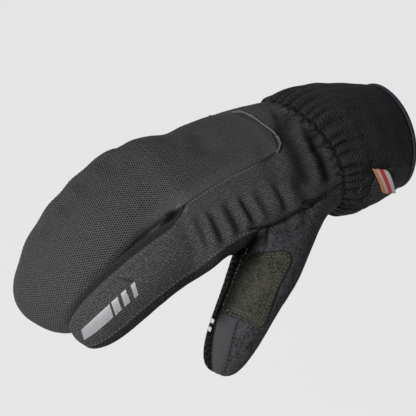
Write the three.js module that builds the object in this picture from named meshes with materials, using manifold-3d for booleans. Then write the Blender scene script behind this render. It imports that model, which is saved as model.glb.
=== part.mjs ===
// A right-hand lobster claw mitt: a winter cycling glove with one wide lobe for three fingers, a separate
// index finger and a thumb, as it stands on a hand, but empty.
// Millimetres. The origin is the middle of the cuff's opening and +X points out of it, along the forearm.
// The fingers point to -X, the back of the hand faces +Z and the thumb is on the -Y side.
//
// The glove's skin is one smooth surface, made from a coarse cage of rings by Catmull-Clark subdivision.
// Each cage face belongs to a cloth panel, and each panel is cut out along its seams and given its wall.
import * as THREE from "three";
import Module from "manifold-3d";

// Driving sizes of the hand
const PALM_LENGTH = 98; // wrist seam to the fork between index finger and lobe
const PALM_WIDTH = 112;
const PALM_HEIGHT = 56;
const LOBE_LENGTH = 90;
const LOBE_WIDTH = 80;
const LOBE_HEIGHT = 44;
const INDEX_LENGTH = 80;
const INDEX_WIDTH = 36;
const THUMB_LENGTH = 94;
const THUMB_WIDTH = 40;

// Driving sizes of the cuff; the rim is its opening
const CUFF_LENGTH = 64;
const CUFF_WIDTH = 82;
const RIM_SLANT = 0.14; // the rim reaches further on the back of the hand than on the palm
const BINDING_WIDTH = 3.2;
const BINDING_THICKNESS = 3.6;

// Cloth, seams and clearances
const WALL = 2.4; // padded softshell
const GUSSET_WALL = 1.2; // one layer without padding
const LEAST_PADDING = 0.42; // share of the wall left in the sharpest turns
const SHARPEST = 0.45; // cosine of a facet's turn from the skin's mean at which that little is left
const PATCH_THICKNESS = 1.0;
const PRINT_THICKNESS = 0.5; // reflective print
const LABEL_THICKNESS = 1.1;
const CORD_THICKNESS = 1.5;
const SEAM_GAP = 0.3;
const LAID_GAP = 0.35; // between a panel and what lies on it

// Gathers at the wrist seam
const HAND_PLEATS = 16;
const HAND_PLEAT_DEPTH = 1.6;
const HAND_PLEAT_REACH = 22;
const CUFF_PLEATS = 32;
const CUFF_PLEAT_DEPTH = 2.0;

const DEG = Math.PI / 180;
const UP = new THREE.Vector3(0, 0, 1);

// The middle of the wrist seam, from the middle of the cuff's opening, and the way the forearm lies there
const WRIST = new THREE.Vector3(-CUFF_LENGTH, 0.01 * CUFF_WIDTH, 0.05 * CUFF_WIDTH);
const WRIST_AXIS = new THREE.Vector3(0.965, 0.26, 0).normalize();
const RIM_AXIS = new THREE.Vector3(1, 0.7 * RIM_SLANT, -0.7 * RIM_SLANT).normalize();

// Palm, from the wrist seam to the fork. Along is a share of the palm's length, side and up move the
// middle by shares of its width and height, width and height are shares of its own. Turn rolls the
// ring, lean carries its thumb-side points towards the fingers and tuck draws them in.
const PALM_ROWS = [
  { along: 0.0, side: 0.0, up: 0.0, width: 0.79, height: 1.22, turn: 6, lean: 0.0, tuck: 0.0 },
  { along: 0.12, side: -0.025, up: 0.02, width: 0.82, height: 1.23, turn: 3, lean: 0.0, tuck: 0.0 },
  { along: 0.25, side: -0.045, up: 0.045, width: 0.88, height: 1.19, turn: 0, lean: 0.0, tuck: 0.0 },
  { along: 0.38, side: -0.06, up: 0.055, width: 0.93, height: 1.12, turn: 0, lean: 0.02, tuck: 0.0 },
  { along: 0.53, side: -0.085, up: 0.055, width: 0.97, height: 1.05, turn: -1, lean: 0.07, tuck: 0.04 },
  { along: 0.68, side: -0.11, up: 0.055, width: 1.01, height: 1.0, turn: -4, lean: 0.15, tuck: 0.09 },
  { along: 0.79, side: -0.12, up: 0.055, width: 1.04, height: 0.96, turn: -3, lean: 0.12, tuck: 0.13 },
  { along: 0.9, side: -0.13, up: 0.055, width: 1.07, height: 0.92, turn: -2, lean: 0.06, tuck: 0.13 },
  { along: 1.0, side: -0.14, up: 0.05, width: 1.1, height: 0.9, turn: -2, lean: 0.0, tuck: 0.1 },
];
const PALM_ANGLES = [184, 163, 136, 109, 86, 64, 42, 20, -1, -23, -45, -67, -90, -113, -135, -156];
const PALM_SQUARE = { wrist: 2.1, fork: 2.5 }; // 2 is an ellipse and more is nearer to a rectangle
const LEAN_MIDDLE = 215; // degrees round the ring
const LEAN_SPREAD = 57;

// Three-finger lobe, from the fork to its tip; shares of the lobe's own sizes, from the fork's middle.
// Open is how far the ring's angles have spread round the lobe.
const LOBE_ROWS = [
  { along: 0.097, side: 0.287, up: -0.042, width: 1.03, height: 1.0, square: 2.4, open: 0.86 },
  { along: 0.203, side: 0.292, up: -0.121, width: 1.03, height: 0.99, square: 2.4, open: 0.94 },
  { along: 0.319, side: 0.277, up: -0.25, width: 1.03, height: 0.98, square: 2.4, open: 1 },
  { along: 0.437, side: 0.258, up: -0.422, width: 1.03, height: 0.96, square: 2.4, open: 1 },
  { along: 0.557, side: 0.233, up: -0.622, width: 1.03, height: 0.93, square: 2.4, open: 1 },
  { along: 0.677, side: 0.198, up: -0.862, width: 1.0, height: 0.89, square: 2.3, open: 1 },
  { along: 0.787, side: 0.158, up: -1.122, width: 0.92, height: 0.81, square: 2.2, open: 1 },
  { along: 0.882, side: 0.103, up: -1.372, width: 0.78, height: 0.68, square: 2.1, open: 1 },
  { along: 0.947, side: 0.053, up: -1.562, width: 0.56, height: 0.48, square: 2.0, open: 1 },
];
const LOBE_TIP = { along: 0.972, side: 0.033, up: -1.662 };
const LOBE_ANGLES = [186, 156, 126, 96, 64, 30, -4, -36, -66, -96, -124];

// Index finger, from the fork to its tip; shares of the finger's own length and width
const INDEX_ROWS = [
  { along: 0.107, side: -1.016, up: 0.016, width: 1.0, height: 1.02, square: 2.2 },
  { along: 0.214, side: -1.071, up: -0.007, width: 0.99, height: 1.02, square: 2.2 },
  { along: 0.34, side: -1.132, up: -0.086, width: 0.98, height: 1.01, square: 2.2 },
  { along: 0.46, side: -1.162, up: -0.226, width: 0.98, height: 1.0, square: 2.2 },
  { along: 0.58, side: -1.182, up: -0.386, width: 0.99, height: 0.99, square: 2.2 },
  { along: 0.7, side: -1.202, up: -0.566, width: 0.99, height: 0.97, square: 2.2 },
  { along: 0.81, side: -1.212, up: -0.736, width: 0.95, height: 0.91, square: 2.1 },
  { along: 0.9, side: -1.222, up: -0.876, width: 0.83, height: 0.79, square: 2.0 },
  { along: 0.97, side: -1.222, up: -0.986, width: 0.58, height: 0.55, square: 2.0 },
];
const INDEX_TIP = { along: 0.995, side: -1.222, up: -1.026 };
const INDEX_ANGLES = [300, 270, 240, 215, 190, 135, 80];

// Thumb, from its root on the palm's thumb side to its tip; shares of the thumb's length and width.
// Angles are about the thumb: 90 faces away from the palm and 0 is the side that grips. Twist adds to them.
const THUMB_ROOT = { along: 0.418, side: -0.506, up: -0.127 }; // shares of the palm's sizes
const THUMB_HEADING = new THREE.Vector3(-0.655, -0.4, -0.7).normalize();
const THUMB_FACING = new THREE.Vector3(-0.3, -0.67, 0.68);
const THUMB_ROWS = [
  { along: 0.15, twist: 8, width: 1.12, height: 1.05 },
  { along: 0.28, twist: 0, width: 1.06, height: 0.97 },
  { along: 0.43, twist: 0, width: 0.95, height: 0.9 },
  { along: 0.59, twist: -4, width: 0.89, height: 0.83 },
  { along: 0.72, twist: 2, width: 0.83, height: 0.78 },
  { along: 0.84, twist: 12, width: 0.73, height: 0.69 },
  { along: 0.93, twist: 22, width: 0.57, height: 0.54 },
  { along: 0.975, twist: 28, width: 0.36, height: 0.36 },
];
const THUMB_TIP_ALONG = 0.99;
const THUMB_ANGLES = [136, 111, 86, 62, 39, 16, -7, -30, -53, -76, -98, -120, -142, -164, -185, -205];

// Cuff, from the wrist seam to the rim; shares of the cuff's length and width, and how much of the
// pleats is left
const CUFF_ROWS = [
  { along: 0.0, width: 1.08, height: 0.83, pleat: 1.0 },
  { along: 0.08, width: 1.11, height: 0.92, pleat: 0.85 },
  { along: 0.24, width: 1.12, height: 1.01, pleat: 0.45 },
  { along: 0.46, width: 1.07, height: 1.03, pleat: 0.15 },
  { along: 0.72, width: 0.98, height: 0.97, pleat: 0.0 },
  { along: 0.96, width: 0.85, height: 0.85, pleat: 0.0 },
];
const CUFF_SEGMENTS = 2 * CUFF_PLEATS;
const CUFF_START = 340; // degrees, the seam on the little finger's side

// The seam between the ribbed and the plain part of the cuff; it comes out under the label
const CUFF_SEAM = [
  { along: 0.0, degrees: 214 },
  { along: 0.1, degrees: 207 },
  { along: 0.18, degrees: 202 },
  { along: 0.29, degrees: 185 },
  { along: 0.35, degrees: 173 },
  { along: 0.43, degrees: 167 },
  { along: 0.6, degrees: 168 },
  { along: 1.0, degrees: 176 },
];

// Where the cage's rings are cut for the fork and for the thumb's hole
const RING = 16; // points round the palm, from the thumb side over the back
const FORK_BACK = 3;
const FORK_PALM = 13;
const HOLE = { first: 1, last: 5, from: 13, to: 17 };

const cage = { points: [], faces: [] };

function addPoint(position) {
  cage.points.push(position);
  return cage.points.length - 1;
}

function addFace(panel, ...corners) {
  cage.faces.push({ panel, corners });
}

// Side and up directions of a section whose tube runs along `heading`
function frameOf(heading, up = UP) {
  const side = new THREE.Vector3().crossVectors(heading, up).normalize();
  return { side, up: new THREE.Vector3().crossVectors(side, heading) };
}

// Subdivision draws a ring of few points inwards by this much, so the cage is made larger
function puff(count) {
  return 3 / (2 + Math.cos((2 * Math.PI) / count));
}

function ovalPoint(section, degrees, grow = 1) {
  const c = Math.cos(degrees * DEG);
  const s = Math.sin(degrees * DEG);
  const soft = 2 / section.square;
  const x = Math.sign(c) * Math.abs(c) ** soft * (section.width / 2) * grow;
  const y = Math.sign(s) * Math.abs(s) ** soft * (section.height / 2) * grow;
  return section.centre.clone().addScaledVector(section.side, x).addScaledVector(section.up, y);
}

// Turns a table's rows into sections with frames that follow the line of their middles
function sections(rows, centres, width, height) {
  return rows.map((row, i) => {
    const heading = new THREE.Vector3()
      .subVectors(centres[Math.min(i + 1, centres.length - 1)], centres[Math.max(i - 1, 0)])
      .normalize();
    const size = { width: row.width * width, height: row.height * height };
    return { ...row, ...size, centre: centres[i], heading, ...frameOf(heading) };
  });
}

const placed = (origin, row, length, width, height) =>
  origin.clone().add(new THREE.Vector3(-row.along * length, row.side * width, row.up * height));

const palmCentres = PALM_ROWS.map((row) => placed(WRIST, row, PALM_LENGTH, PALM_WIDTH, PALM_HEIGHT));
const palmRows = PALM_ROWS.map((row) => ({
  ...row,
  square: THREE.MathUtils.lerp(PALM_SQUARE.wrist, PALM_SQUARE.fork, row.along),
}));
const palmSections = sections(palmRows, palmCentres, PALM_WIDTH, PALM_HEIGHT);
Object.assign(palmSections[0], frameOf(WRIST_AXIS.clone().negate()));
const fork = palmCentres.at(-1);

function fingerSections(rows, length, width, height) {
  const centres = rows.map((row) => placed(fork, row, length, width, height));
  return sections(rows, centres, width, height);
}

const lobeSections = fingerSections(LOBE_ROWS, LOBE_LENGTH, LOBE_WIDTH, LOBE_HEIGHT);
const indexSections = fingerSections(INDEX_ROWS, INDEX_LENGTH, INDEX_WIDTH, INDEX_WIDTH);

// Palm rings
const palmRings = palmSections.map((section) =>
  PALM_ANGLES.map((degrees) => {
    const off = Math.min(Math.abs(degrees - LEAN_MIDDLE), Math.abs(degrees + 360 - LEAN_MIDDLE));
    const part = off < LEAN_SPREAD ? Math.cos((90 * DEG * off) / LEAN_SPREAD) ** 2 : 0;
    const p = ovalPoint(section, degrees + section.turn, puff(RING) * (1 - 2 * part * section.tuck));
    return addPoint(p.addScaledVector(section.heading, part * section.lean * PALM_LENGTH));
  }),
);
const palmAt = (k, j) => palmRings[k][j % RING];

const inHole = (k, j) => k >= HOLE.first && k < HOLE.last && (j >= HOLE.from || j + RING < HOLE.to);

function palmPanel(k, j) {
  if (j === 0 || j === RING - 1) return k < HOLE.first ? "thumb_back" : "index_side";
  if (j < FORK_BACK) return "hand_back";
  if (j < RING / 2) return "mitt_back";
  return "palm";
}

for (let k = 0; k + 1 < palmRings.length; k++)
  for (let j = 0; j < RING; j++)
    if (!inHole(k, j))
      addFace(palmPanel(k, j), palmAt(k, j), palmAt(k, j + 1), palmAt(k + 1, j + 1), palmAt(k + 1, j));

// The web between index finger and lobe, from the back of the hand to the palm
const forkRing = palmRings.at(-1);
const web = [0.33, -0.33].map((share) => {
  const section = palmSections.at(-1);
  const p = section.centre
    .clone()
    .addScaledVector(section.side, -0.2 * PALM_WIDTH)
    .addScaledVector(section.up, share * section.height * 0.7)
    .addScaledVector(section.heading, 0.02 * PALM_LENGTH);
  return addPoint(p);
});

// Faces of a tube that carries on from `loop` through its rings to its tip
function growTube(loop, rings, tip, panelAt) {
  let last = loop;
  rings.forEach((ring, k) => {
    for (let i = 0; i < loop.length; i++) {
      const n = (i + 1) % loop.length;
      addFace(panelAt(k, i), last[i], last[n], ring[n], ring[i]);
    }
    last = ring;
  });
  for (let i = 0; i < loop.length; i++)
    addFace(panelAt(rings.length, i), last[i], last[(i + 1) % loop.length], tip);
}

const ringOf = (section, angles) =>
  angles.map((degrees) => addPoint(ovalPoint(section, degrees, puff(angles.length))));

// Adds the web's two points to a finger's angles, evenly between its last and its first
function withWeb(angles, open = 1) {
  const spread = angles.map((degrees) => degrees * open);
  const step = (spread[0] - 360 - spread.at(-1)) / 3;
  return [...spread, spread.at(-1) + step, spread.at(-1) + 2 * step];
}

// Lobe: from the fork's back point over the little-finger side to the palm, then up the web
const lobeLoop = [...forkRing.slice(FORK_BACK, FORK_PALM + 1), web[1], web[0]];
growTube(
  lobeLoop,
  lobeSections.map((s) => ringOf(s, withWeb(LOBE_ANGLES, s.open))),
  addPoint(placed(fork, LOBE_TIP, LOBE_LENGTH, LOBE_WIDTH, LOBE_HEIGHT)),
  (k, i) => (i < 5 ? "mitt_back" : i < 10 ? "palm" : "finger_gusset"),
);

// Index finger: from the fork's palm point round the thumb side to the back, then down the web
const indexLoop = [...forkRing.slice(FORK_PALM), ...forkRing.slice(0, FORK_BACK + 1), web[0], web[1]];
growTube(
  indexLoop,
  indexSections.map((s) => ringOf(s, withWeb(INDEX_ANGLES))),
  addPoint(placed(fork, INDEX_TIP, INDEX_LENGTH, INDEX_WIDTH, INDEX_WIDTH)),
  (k, i) => (i < 2 ? "palm" : i < 4 ? "index_side" : i < 6 ? "hand_back" : "finger_gusset"),
);

// Thumb: its hole's edge runs along the thumb-side seam towards the fingers, then down into the palm
// and back to the wrist
const holeEdge = [];
for (let k = HOLE.first; k < HOLE.last; k++) holeEdge.push(palmAt(k, HOLE.to));
for (let j = HOLE.to; j > HOLE.from; j--) holeEdge.push(palmAt(HOLE.last, j));
for (let k = HOLE.last; k > HOLE.first; k--) holeEdge.push(palmAt(k, HOLE.from));
for (let j = HOLE.from; j < HOLE.to; j++) holeEdge.push(palmAt(HOLE.first, j));

const thumbRoot = placed(WRIST, THUMB_ROOT, PALM_LENGTH, PALM_WIDTH, PALM_HEIGHT);
const thumbSide = new THREE.Vector3().crossVectors(THUMB_HEADING, THUMB_FACING).normalize();
const thumbUp = new THREE.Vector3().crossVectors(thumbSide, THUMB_HEADING);

const thumbCentre = (along) => thumbRoot.clone().addScaledVector(THUMB_HEADING, along * THUMB_LENGTH);

const thumbSections = THUMB_ROWS.map((row) => ({
  along: row.along,
  twist: row.twist,
  centre: thumbCentre(row.along),
  side: thumbSide,
  up: thumbUp,
  width: row.width * THUMB_WIDTH,
  height: row.height * THUMB_WIDTH,
  square: 2.1,
}));
growTube(
  holeEdge,
  thumbSections.map((s) => ringOf(s, THUMB_ANGLES.map((degrees) => degrees + s.twist))),
  addPoint(thumbCentre(THUMB_TIP_ALONG)),
  (k, i) => {
    if (k === 0 && i === 4) return "thumb_back";
    if (k > 0 && k < 4 && i < 4) return "under_patch";
    if (k > 3 && (i === 2 || i === 3)) return "thumb_touch_panel";
    return i < 4 || i > 11 ? "thumb_back" : "thumb_palm";
  },
);

// One step of Catmull-Clark subdivision; faces keep their panel
function subdivide({ points, faces }) {
  const facePoint = faces.map(({ corners }) =>
    corners.reduce((sum, c) => sum.add(points[c]), new THREE.Vector3()).divideScalar(corners.length),
  );
  const edges = new Map();
  const edgeKey = (a, b) => (a < b ? `${a},${b}` : `${b},${a}`);
  const around = points.map(() => ({ faces: [], edges: [] }));
  faces.forEach(({ corners }, f) =>
    corners.forEach((a, i) => {
      const b = corners[(i + 1) % corners.length];
      const key = edgeKey(a, b);
      if (!edges.has(key)) edges.set(key, { a, b, faces: [] });
      edges.get(key).faces.push(f);
      around[a].faces.push(f);
    }),
  );
  for (const edge of edges.values()) {
    around[edge.a].edges.push(edge);
    around[edge.b].edges.push(edge);
    edge.middle = new THREE.Vector3().addVectors(points[edge.a], points[edge.b]).divideScalar(2);
  }
  const sum = (vectors) => vectors.reduce((s, v) => s.add(v), new THREE.Vector3());
  const out = points.map((p, v) => {
    const rim = around[v].edges.filter((e) => e.faces.length === 1);
    if (rim.length) return sum(rim.map((e) => e.middle)).addScaledVector(p, 2).divideScalar(4);
    const n = around[v].edges.length;
    const f = sum(around[v].faces.map((i) => facePoint[i])).divideScalar(n);
    const e = sum(around[v].edges.map((x) => x.middle)).divideScalar(n);
    return f.addScaledVector(e, 2).addScaledVector(p, n - 3).divideScalar(n);
  });
  for (const edge of edges.values()) {
    edge.point = out.length;
    const [f, g] = edge.faces.map((i) => facePoint[i]);
    out.push(g ? edge.middle.clone().multiplyScalar(2).add(f).add(g).divideScalar(4) : edge.middle);
  }
  const made = [];
  faces.forEach(({ panel, corners }, f) => {
    const centre = out.length;
    out.push(facePoint[f]);
    corners.forEach((c, i) => {
      const next = edges.get(edgeKey(c, corners[(i + 1) % corners.length])).point;
      const before = edges.get(edgeKey(corners.at(i - 1), c)).point;
      made.push({ panel, corners: [c, next, centre, before] });
    });
  });
  return { points: out, faces: made };
}

function normalsOf({ points, faces }) {
  const normals = points.map(() => new THREE.Vector3());
  for (const { corners } of faces) {
    const [a, b, c, d] = corners.map((i) => points[i]);
    const n = new THREE.Vector3().subVectors(c, a).cross(new THREE.Vector3().subVectors(d ?? c, b));
    for (const i of corners) normals[i].add(n);
  }
  return normals.map((n) => n.normalize());
}

// How much of the padding is left at each point: it is squeezed where the cloth turns sharply
function pinchOf({ points, faces }, normals) {
  const pinch = points.map(() => 1);
  for (const { corners } of faces) {
    const [a, b, c, d] = corners.map((i) => points[i]);
    const n = new THREE.Vector3().subVectors(c, a).cross(new THREE.Vector3().subVectors(d ?? c, b));
    n.normalize();
    for (const i of corners) {
      const left = THREE.MathUtils.clamp((n.dot(normals[i]) - SHARPEST) / (1 - SHARPEST), LEAST_PADDING, 1);
      pinch[i] = Math.min(pinch[i], left);
    }
  }
  return pinch;
}

// A closed slab over the chosen faces of a surface, from `low` to `high` along its normals. Its edge is
// drawn in by half a seam gap, so that neighbours never touch.
function panelGeometry({ points, normals, pinch }, chosen, low, high, inset = SEAM_GAP / 2) {
  const edges = new Map();
  for (const { corners } of chosen)
    corners.forEach((a, i) => {
      const b = corners[(i + 1) % corners.length];
      edges.set(`${a},${b}`, [a, b]);
    });
  const rim = [...edges.values()].filter(([a, b]) => !edges.has(`${b},${a}`));
  const inward = new Map();
  for (const [a, b] of rim) {
    const along = new THREE.Vector3().subVectors(points[b], points[a]);
    for (const v of [a, b]) {
      if (!inward.has(v)) inward.set(v, []);
      inward.get(v).push(new THREE.Vector3().crossVectors(normals[v], along).normalize());
    }
  }
  const used = [...new Set(chosen.flatMap((f) => f.corners))];
  const slot = new Map(used.map((v, i) => [v, i]));
  const vertices = [];
  for (const offset of [high, low])
    for (const v of used) {
      const p = points[v].clone();
      if (inward.has(v)) {
        const [m, n = m] = inward.get(v);
        p.addScaledVector(new THREE.Vector3().addVectors(m, n), inset / (1 + Math.max(m.dot(n), -0.5)));
      }
      vertices.push(p.addScaledVector(normals[v], offset < 0 ? offset * pinch[v] : offset));
    }
  const triangles = [];
  const fan = (corners) => {
    for (let i = 1; i + 1 < corners.length; i++) triangles.push(corners[0], corners[i], corners[i + 1]);
  };
  const under = (v) => slot.get(v) + used.length;
  for (const { corners } of chosen) {
    fan(corners.map((v) => slot.get(v)));
    fan(corners.map(under).reverse());
  }
  for (const [a, b] of rim) fan([slot.get(b), slot.get(a), under(a), under(b)]);
  return meshGeometry(vertices, triangles);
}

const solids = await Module();
solids.setup();

function toSolid(geometry) {
  const mesh = new solids.Mesh({
    numProp: 3,
    vertProperties: Float32Array.from(geometry.getAttribute("position").array),
    triVerts: Uint32Array.from(geometry.index.array),
  });
  mesh.merge();
  return new solids.Manifold(mesh);
}

// Cuts the room that `tool` takes out of `geometry`
function cutAway(geometry, tool) {
  const { numProp, vertProperties, triVerts } = toSolid(geometry).subtract(toSolid(tool)).getMesh();
  const vertices = [];
  for (let i = 0; i < vertProperties.length; i += numProp)
    vertices.push(new THREE.Vector3().fromArray(vertProperties, i));
  return meshGeometry(vertices, [...triVerts]);
}

function meshGeometry(vertices, triangles) {
  const geometry = new THREE.BufferGeometry();
  const coordinates = vertices.flatMap((p) => p.toArray());
  geometry.setAttribute("position", new THREE.Float32BufferAttribute(coordinates, 3));
  geometry.setIndex(triangles);
  geometry.computeVertexNormals();
  return geometry;
}

// Folds and gathers of the hand

// A point on a tube's skin at a share of its length and an angle round it
function onTube(tube, along, degrees, grow = 1) {
  const next = Math.max(1, tube.findIndex((s) => s.along >= along));
  const a = tube[next - 1];
  const b = tube[next];
  const share = (along - a.along) / (b.along - a.along);
  return ovalPoint(a, degrees, grow).lerp(ovalPoint(b, degrees, grow), share);
}
const TUBES = { palm: palmSections, lobe: lobeSections, index: indexSections, thumb: thumbSections };

// Grooves (negative depth) and ridges across the skin, from one point of a tube to another; millimetres
// for width and depth
const FOLDS = [
  { tube: "palm", along: 0.7, degrees: 130, toAlong: 0.7, toDegrees: 150, width: 4.2, depth: -2.6 },
  { tube: "palm", along: 0.745, degrees: 128, toAlong: 0.74, toDegrees: 150, width: 4.2, depth: 1.6 },
  { tube: "palm", along: 0.785, degrees: 127, toAlong: 0.775, toDegrees: 146, width: 4.2, depth: -2.2 },
  { tube: "palm", along: 0.85, degrees: 128, toAlong: 0.845, toDegrees: 148, width: 4.2, depth: 1.5 },
  { tube: "palm", along: 0.912, degrees: 130, toAlong: 0.912, toDegrees: 149, width: 4.2, depth: -2.2 },
  { tube: "palm", along: 0.96, degrees: 132, toAlong: 0.96, toDegrees: 150, width: 4.2, depth: 1.5 },
  { tube: "palm", along: 0.475, degrees: 150, toAlong: 0.475, toDegrees: 166, width: 4, depth: -1.2 },
  { tube: "palm", along: 0.15, degrees: 82, toAlong: 0.175, toDegrees: 114, width: 5, depth: -1.5 },
  { tube: "palm", along: 0.075, degrees: 104, toAlong: 0.1, toDegrees: 142, width: 4, depth: -1.6 },
  { tube: "palm", along: 0.72, degrees: 30, toAlong: 0.78, toDegrees: 62, width: 8, depth: -3.0 },
  { tube: "palm", along: 0.52, degrees: 40, toAlong: 0.56, toDegrees: 60, width: 6, depth: -1.4 },
  { tube: "lobe", along: 0.28, degrees: 20, toAlong: 0.3, toDegrees: 60, width: 6, depth: -1.5 },
  { tube: "lobe", along: 0.45, degrees: 20, toAlong: 0.46, toDegrees: 60, width: 6, depth: -1.7 },
  { tube: "lobe", along: 0.62, degrees: 15, toAlong: 0.62, toDegrees: 60, width: 6, depth: -1.7 },
  { tube: "lobe", along: 0.8, degrees: 10, toAlong: 0.8, toDegrees: 60, width: 6, depth: -1.6 },
];
const foldLines = FOLDS.map((f) => ({
  ...f,
  line: new THREE.Line3(
    onTube(TUBES[f.tube], f.along, f.degrees),
    onTube(TUBES[f.tube], f.toAlong, f.toDegrees),
  ),
}));

function foldedSkin(surface) {
  const normals = normalsOf(surface);
  const wrist = palmSections[0];
  const nearest = new THREE.Vector3();
  const points = surface.points.map((p, v) => {
    let lift = 0;
    for (const fold of foldLines) {
      fold.line.closestPointToPoint(p, true, nearest);
      lift += fold.depth * Math.exp(-((nearest.distanceTo(p) / fold.width) ** 2));
    }
    const out = new THREE.Vector3().subVectors(p, WRIST);
    const reach = 1 + out.dot(WRIST_AXIS) / HAND_PLEAT_REACH;
    if (reach > 0) {
      const turn = Math.atan2(out.dot(wrist.up) / wrist.height, out.dot(wrist.side) / wrist.width);
      lift += (HAND_PLEAT_DEPTH / 2) * Math.cos(HAND_PLEATS * turn) * Math.min(reach, 1) ** 2;
    }
    return p.clone().addScaledVector(normals[v], lift);
  });
  return { points, faces: surface.faces };
}

const skin = foldedSkin(subdivide(cage));
skin.normals = normalsOf(skin);
skin.pinch = pinchOf(skin, skin.normals);

// Cuts faces of one panel along the line where `level` is 0; the part below 0 goes to another panel
function cutPanel(surface, panel, below, level) {
  const { points, normals, pinch } = surface;
  const split = new Map();
  const at = points.map(level);
  const cutPoint = (a, b) => {
    const key = a < b ? `${a},${b}` : `${b},${a}`;
    if (!split.has(key)) {
      const share = at[a] / (at[a] - at[b]);
      split.set(key, points.length);
      points.push(points[a].clone().lerp(points[b], share));
      normals.push(normals[a].clone().lerp(normals[b], share).normalize());
      pinch.push(Math.min(pinch[a], pinch[b]));
    }
    return split.get(key);
  };
  surface.faces = surface.faces.flatMap((face) => {
    if (face.panel !== panel) return [face];
    const sides = { [panel]: [], [below]: [] };
    face.corners.forEach((a, i) => {
      const b = face.corners[(i + 1) % face.corners.length];
      sides[at[a] < 0 ? below : panel].push(a);
      if (at[a] < 0 !== at[b] < 0) {
        const middle = cutPoint(a, b);
        sides[panel].push(middle);
        sides[below].push(middle);
      }
    });
    return Object.entries(sides)
      .filter(([, corners]) => corners.length > 2)
      .map(([name, corners]) => ({ panel: name, corners }));
  });
}

// The tongue of the mitt's back ends in a rounded slant. Seen from above, in shares of the palm's
// length from the wrist seam and of its width to the little finger's side.
const TONGUE_EDGE = [
  { along: 0.7, side: 0.7 },
  { along: 0.43, side: 0.33 },
  { along: 0.374, side: 0.24 },
  { along: 0.332, side: 0.177 },
  { along: 0.3, side: 0.098 },
  { along: 0.265, side: -0.02 },
  { along: 0.24, side: -0.121 },
  { along: 0.246, side: -0.183 },
  { along: 0.292, side: -0.228 },
  { along: 0.37, side: -0.3 },
];
const tongueLine = TONGUE_EDGE.map(
  (row) => new THREE.Vector2(WRIST.x - row.along * PALM_LENGTH, WRIST.y + row.side * PALM_WIDTH),
);

// Distance from a line on the top view, positive on its left
function besideLine(line, p) {
  let best = Infinity;
  let signed = 0;
  const q = new THREE.Vector2(p.x, p.y);
  for (let i = 0; i + 1 < line.length; i++) {
    const run = line[i + 1].clone().sub(line[i]);
    const from = q.clone().sub(line[i]);
    const share = THREE.MathUtils.clamp(from.dot(run) / run.lengthSq(), 0, 1);
    const away = from.clone().addScaledVector(run, -share);
    if (away.length() < best - 1e-9) {
      best = away.length();
      signed = Math.sign(run.cross(from)) * best;
    }
  }
  return signed;
}
cutPanel(skin, "mitt_back", "hand_back", (p) => -besideLine(tongueLine, p));

// Cuff

function cuffSection(row) {
  const heading = WRIST_AXIS.clone().lerp(RIM_AXIS, row.along).normalize().negate();
  const centre = WRIST.clone().multiplyScalar(1 - row.along);
  return {
    centre,
    ...frameOf(heading),
    width: row.width * CUFF_WIDTH,
    height: row.height * CUFF_WIDTH,
    square: 2.1,
  };
}

const cuff = { points: [], faces: [], along: [], degrees: [] };
CUFF_ROWS.forEach((row, k) => {
  const section = cuffSection(row);
  for (let i = 0; i < CUFF_SEGMENTS; i++) {
    const degrees = CUFF_START - (i * 360) / CUFF_SEGMENTS;
    const base = ovalPoint(section, degrees);
    const out = new THREE.Vector3().subVectors(base, section.centre).normalize();
    const lift = (i % 2 ? 0.5 : -0.5) * CUFF_PLEAT_DEPTH * row.pleat;
    cuff.points.push(base.addScaledVector(out, lift));
    cuff.along.push(row.along);
    cuff.degrees.push(degrees);
    if (k + 1 === CUFF_ROWS.length) continue;
    const a = k * CUFF_SEGMENTS + i;
    const b = k * CUFF_SEGMENTS + ((i + 1) % CUFF_SEGMENTS);
    cuff.faces.push({ panel: "cuff_back", corners: [b, a, a + CUFF_SEGMENTS, b + CUFF_SEGMENTS] });
  }
});
cuff.normals = normalsOf(cuff);
cuff.pinch = cuff.points.map(() => 1);

// The seam's angle at a share of the cuff's length
function cuffSeam(along) {
  const next = Math.max(1, CUFF_SEAM.findIndex((row) => row.along >= along));
  const [a, b] = [CUFF_SEAM[next - 1], CUFF_SEAM[next]];
  return THREE.MathUtils.mapLinear(along, a.along, b.along, a.degrees, b.degrees);
}
cutPanel(cuff, "cuff_back", "cuff_palm", (p, v) => cuffSeam(cuff.along[v]) - cuff.degrees[v]);

// The binding closes the cuff's edge
function bindingGeometry() {
  const last = CUFF_ROWS.at(-1);
  const section = cuffSection(last);
  const start = SEAM_GAP;
  const profile = [
    { out: 0.1, on: 0.0 },
    { out: 0.5, on: 0.25 },
    { out: 0.5, on: 0.75 },
    { out: 0.1, on: 1.0 },
    { out: -0.4, on: 0.85 },
    { out: -0.4, on: 0.15 },
  ];
  const count = CUFF_SEGMENTS / 2;
  const vertices = [];
  for (let s = 0; s < count; s++) {
    const wall = ovalPoint(section, CUFF_START - (s * 360) / count);
    const out = new THREE.Vector3().subVectors(wall, section.centre).normalize();
    for (const { out: o, on } of profile)
      vertices.push(
        wall
          .clone()
          .addScaledVector(out, o * BINDING_THICKNESS - WALL / 2 + 0.3)
          .addScaledVector(RIM_AXIS, start + on * BINDING_WIDTH),
      );
  }
  const n = profile.length;
  const triangles = [];
  for (let s = 0; s < count; s++)
    for (let i = 0; i < n; i++) {
      const a = s * n + i;
      const b = s * n + ((i + 1) % n);
      const c = ((s + 1) % count) * n + ((i + 1) % n);
      const d = ((s + 1) % count) * n + i;
      triangles.push(a, b, c, a, c, d);
    }
  return meshGeometry(vertices, triangles);
}

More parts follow.
